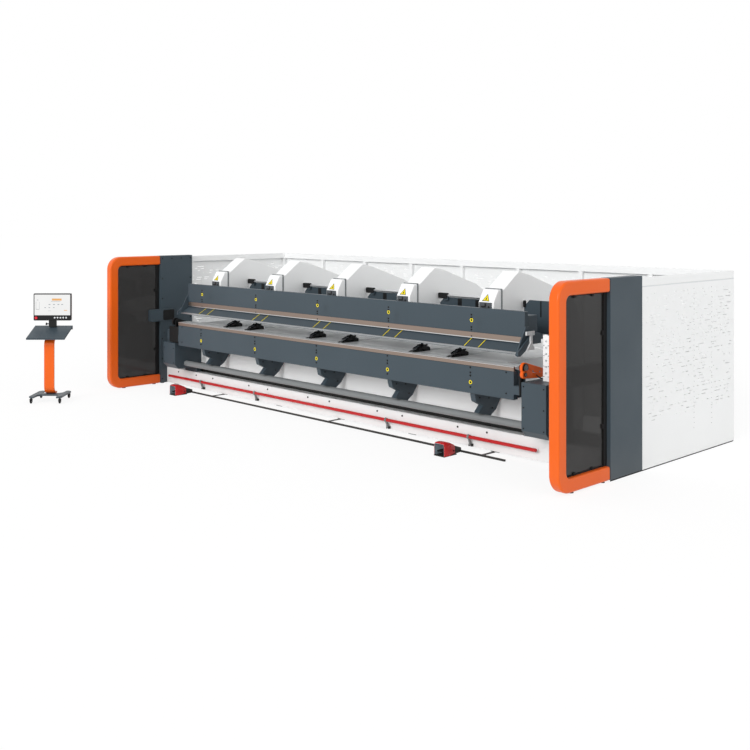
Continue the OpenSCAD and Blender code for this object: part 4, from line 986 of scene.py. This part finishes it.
class FOLDER_OT_console(bpy.types.Operator):
    """Build the terminal: cart, shelf, screen and keys"""

    bl_idname = "folder.console"
    bl_label = "Terminal"

    def execute(self, context):
        self.cart()
        self.shelf()
        self.screen(context.scene.folder_sizes.keys)
        return {"FINISHED"}

    @staticmethod
    def cart():
        """A folded H-shaped base on four swivel casters."""
        w, d, rail, cut = 0.235, 0.255, 0.075, 0.035
        outline = [(-w + cut, -d), (-w + rail, -d), (-w + rail + 0.01, -0.105), (-w + rail + 0.05, -0.062),
                   (w - rail - 0.05, -0.062), (w - rail - 0.01, -0.105), (w - rail, -d), (w - cut, -d),
                   (w, -d + cut), (w, d - cut), (w - cut, d), (w - rail, d), (w - rail - 0.01, 0.105),
                   (w - rail - 0.05, 0.062), (-w + rail + 0.05, 0.062), (-w + rail + 0.01, 0.105),
                   (-w + rail, d), (-w + cut, d), (-w, d - cut), (-w, -d + cut)]
        piece("console_cart", [at_console(prism(outline, Z, 0.080, 0.105))], ["slate_enamel"],
              replaces=["console_base"], bevel=0.003)
        spots = grid_points([-0.205, 0.205], [-0.220, 0.220], [0.030])
        tyre = [(0.012, -0.0105), (0.024, -0.0105), (0.029, -0.007), (0.030, 0), (0.029, 0.007), (0.024, 0.0105),
                (0.012, 0.0105), (0.012, -0.0105)]
        hub = [(0, -0.012), (0.013, -0.012), (0.013, 0.012), (0, 0.012)]
        wheels = [turned(tyre, spots, RIGHT, 28), (*turned(hub, spots, RIGHT, 20), 1)]
        fork = [(-0.012, 0.022), (0.012, 0.022), (0.018, 0.062), (0.018, 0.066), (-0.018, 0.066), (-0.018, 0.062)]
        forks = []
        for x, y, _ in spots:
            leg = np.array(fork) + [y, 0]
            forks += [prism(leg, X, x - 0.0175, x - 0.0145), prism(leg, X, x + 0.0145, x + 0.0175),
                      blocks([x - 0.0175, y - 0.018, 0.062], [x + 0.0175, y + 0.018, 0.067])]
        stem = [(0, 0.066), (0.016, 0.066), (0.016, 0.072), (0.010, 0.074), (0.010, 0.0802), (0, 0.0802)]
        forks.append(turned(stem, spots * [1, 1, 0], UP, 16))
        piece("console_wheels", [at_console(s) for s in wheels], ["black_rubber", "pale_steel"],
              replaces=["console_casters"])
        piece("console_forks", [at_console(s) for s in forks], ["black_oxide"],
              bevel=0.0008)

    @staticmethod
    def shelf():
        """A sloping folded tray with a lip at the front and a deep flange at the back."""
        front, back, rise = -0.230, 0.170, 0.140
        low = 0.913
        slope = rise / (back - front)
        half, thick, drop = 0.275, 0.005, 0.022

        def level(y):
            return low + (y - front) * slope

        top = [(front, level(front) + drop), (back, level(back) + drop), (back, level(back) + drop - thick),
               (front, level(front) + drop - thick)]
        sides = [(front, level(front) + drop), (back, level(back) + drop), (back, level(back) - 0.002),
                 (front, level(front))]
        shapes = [prism(top, X, -half, half), prism(sides, X, -half, -half + thick),
                  prism(sides, X, half - thick, half),
                  blocks([-half, front, level(front)], [half, front + thick, level(front) + drop - 0.001]),
                  blocks([-half, back - thick, level(back) - 0.035], [half, back, level(back) + drop - 0.001])]
        web = [(-0.020, 0.930), (0.080, 0.930), (0.080, level(0.080) + 0.018), (-0.020, level(-0.020) + 0.018)]
        shapes.append(prism(web, X, -0.0725, 0.0725))
        piece("console_tray", [at_console(s) for s in shapes], ["slate_enamel"],
              replaces=["console_shelf"], bevel=0.0018)

    @staticmethod
    def screen(keys):
        """A flat screen in a rounded black housing, with a red stop key and a row of round keys below."""
        half, low, high, face, back = 0.275, 1.156, 1.552, 0.090, 0.130
        housing = prism(rounded((-half, low), (half, high), 0.014), Y, face + 0.001, back)
        neck = [(back - 0.001, 1.050), (back + 0.030, 1.062), (back + 0.030, 1.306), (back - 0.001, 1.306)]
        post = prism(rounded((-0.055, 1.062), (0.055, 1.17), 0.012), Y, back - 0.035, back + 0.002)
        knob = turned([(0, 0), (0.008, 0), (0.008, 0.03), (0.02, 0.032), (0.02, 0.045), (0.014, 0.05), (0, 0.05)],
                      [-0.054, back - 0.012, 1.105], (-1, 0, 0), 20)
        shapes = [at_console(s) for s in (housing, prism(neck, X, -0.040, 0.040), post, knob)]
        piece("console_screen", shapes, ["screen"], replaces=["console_monitor"], bevel=0.003,
              segments=3)
        view_low, view_high = low + 0.078, high - 0.016
        panel = blocks([-half + 0.014, face, view_low], [half - 0.014, face + 0.0015, view_high])
        piece("screen_panel", [at_console(panel)], ["screen_light"])
        film = face - 0.0004
        tiles = [((-0.005, 1.448), (0.135, 1.478), 1), ((-0.02, 1.432), (0.12, 1.437), 0),
                 ((-0.240, 1.318), (-0.188, 1.322), 2), ((-0.240, 1.318), (-0.236, 1.43), 0),
                 ((-0.192, 1.318), (-0.188, 1.43), 0), ((-0.225, 1.452), (-0.205, 1.462), 0)]
        tiles += [((x, 1.385), (x + 0.028, 1.397), 0) for x in (-0.055, 0.010, 0.075, 0.130)]
        tiles += [((x, 1.340), (x + 0.022, 1.351), 0) for x in (-0.115, -0.055, 0.010)]
        tiles += [((0.17, 1.300), (0.215, 1.310), 1), ((-0.06, 1.296), (-0.02, 1.300), 0)]
        shapes = [(*at_console(blocks([a[0], film, a[1]], [b[0], face, b[1]])), mark) for a, b, mark in tiles]
        piece("screen_tiles", shapes, ["screen_grey", "screen_orange", "grey_vinyl"])
        stop = turned([(0, 0), (0.018, 0), (0.018, 0.006), (0.021, 0.008), (0.021, 0.016), (0.017, 0.020), (0, 0.021)],
                      [-half + 0.042, face, low + 0.040], FRONT, 28)
        row = np.column_stack([np.linspace(0.035, 0.035 + 0.042 * (keys - 1), keys), np.full(keys, face),
                               np.full(keys, low + 0.042)])
        piece("console_stop_key", [at_console(stop)], ["red_plastic"])
        piece("console_keys", [at_console(turned(disc(0.012, 0.005, 0.0015), row, FRONT, 20))],
              ["white_plastic"])


class FOLDER_OT_stage(bpy.types.Operator):
    """Set up the pale floor, the soft light and the camera"""

    bl_idname = "folder.stage"
    bl_label = "Studio"

    def execute(self, context):
        stage = context.scene.folder_stage
        self.floor()
        self.room(context.scene, stage.room)
        self.lamp("Key", (0.14, -0.90, 0.36), 30, stage.key)
        self.lamp("Fill", (0.90, -0.10, 0.45), 35, stage.fill)
        self.camera(context.scene)
        context.scene.view_settings.view_transform = "Standard"
        return {"FINISHED"}

    @staticmethod
    def seen_rays(tree):
        """1 for rays from the camera and for those that gloss and glass send on."""
        path = add(tree, "LightPath")
        seen = add(tree, "Math", None, {0: path.outputs["Is Camera Ray"], 1: path.outputs["Is Glossy Ray"]},
                   operation="MAXIMUM")
        return add(tree, "Math", None, {0: seen.outputs[0], 1: path.outputs["Is Transmission Ray"]},
                   operation="MAXIMUM").outputs[0]

    def floor(self):
        """A wide pale floor that shows white where nothing shades it."""
        mesh = bpy.data.meshes.new("floor")
        reach = 120.0
        mesh.from_pydata([(-reach, -reach, 0), (reach, -reach, 0), (reach, reach, 0), (-reach, reach, 0)], [],
                         [(0, 1, 2, 3)])
        material, tree, _ = start_finish("studio_floor")
        matt = add(tree, "BsdfDiffuse", {"Color": rgba(linear("F4F4F4"))})
        white = add(tree, "Emission", {"Strength": 1.04})
        shown = add(tree, "Math", {1: 0.82}, {0: self.seen_rays(tree)}, operation="MULTIPLY")
        mixed = add(tree, "MixShader", None, {0: shown.outputs[0], 1: matt.outputs[0], 2: white.outputs[0]})
        add(tree, "OutputMaterial", None, {"Surface": mixed.outputs[0]})
        mesh.materials.append(material)
        floor = bpy.data.objects.new("floor", mesh)
        bpy.context.scene.collection.objects.link(floor)

    def room(self, scene, strength):
        """Even light from all round, and white where it is looked at."""
        world = bpy.data.worlds.new("studio")
        world.use_nodes = True
        scene.world = world
        tree = world.node_tree
        tree.nodes.clear()
        light = add(tree, "Background", {"Color": rgba(linear("FFFFFF")), "Strength": strength})
        white = add(tree, "Background", {"Color": rgba(linear("FFFFFF")), "Strength": 1.0})
        mixed = add(tree, "MixShader", None, {0: self.seen_rays(tree), 1: light.outputs[0], 2: white.outputs[0]})
        add(tree, "OutputWorld", None, {"Surface": mixed.outputs[0]})

    @staticmethod
    def lamp(name, toward, spread, strength):
        """A wide soft light that comes from one direction everywhere."""
        lamp = bpy.data.lights.new(name, "SUN")
        lamp.angle, lamp.energy = math.radians(spread), strength
        made = bpy.data.objects.new(name, lamp)
        made.rotation_euler = Vector(toward).to_track_quat("Z", "Y").to_euler()
        bpy.context.scene.collection.objects.link(made)

    @staticmethod
    def camera(scene):
        """Stands right of the machine's front and looks level, with the picture shifted down."""
        data = bpy.data.cameras.new("camera")
        data.lens, data.sensor_width, data.shift_y = 48.22, 36.0, -0.2093
        data.clip_end = 400
        camera = bpy.data.objects.new("camera", data)
        camera.location = (9.828, -9.622, 2.655)
        camera.rotation_euler = (math.radians(90), 0, math.radians(45.85))
        scene.collection.objects.link(camera)
        scene.camera = camera


class FOLDER_PT_panel(bpy.types.Panel):
    """Lists the machine's pieces, colours and sizes."""

    bl_label = "Folder"
    bl_idname = "FOLDER_PT_panel"
    bl_space_type = "VIEW_3D"
    bl_region_type = "UI"
    bl_category = "Folder"

    def draw(self, context):
        layout = self.layout
        for group in (context.scene.folder_colours, context.scene.folder_sizes, context.scene.folder_stage):
            box = layout.box()
            for name in group.__annotations__:
                box.prop(group, name)
        for step in STEPS:
            layout.operator(step.bl_idname)


STEPS = (FOLDER_OT_shells, FOLDER_OT_walls, FOLDER_OT_guards, FOLDER_OT_beams, FOLDER_OT_clamp,
         FOLDER_OT_gauge, FOLDER_OT_base, FOLDER_OT_drives, FOLDER_OT_pedals, FOLDER_OT_console,
         FOLDER_OT_stage)
CLASSES = (FolderColours, FolderSizes, FolderStage, *STEPS, FOLDER_PT_panel)


def register():
    for kind in CLASSES:
        bpy.utils.register_class(kind)
    bpy.types.Scene.folder_colours = PointerProperty(type=FolderColours)
    bpy.types.Scene.folder_sizes = PointerProperty(type=FolderSizes)
    bpy.types.Scene.folder_stage = PointerProperty(type=FolderStage)


def unregister():
    del bpy.types.Scene.folder_colours
    del bpy.types.Scene.folder_sizes
    del bpy.types.Scene.folder_stage
    for kind in reversed(CLASSES):
        bpy.utils.unregister_class(kind)


def main():
    """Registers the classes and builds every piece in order."""
    register()
    for step in STEPS:
        group, name = step.bl_idname.split(".")
        getattr(getattr(bpy.ops, group), name)()
    bpy.context.view_layer.update()


if __name__ == "__main__":
    main()
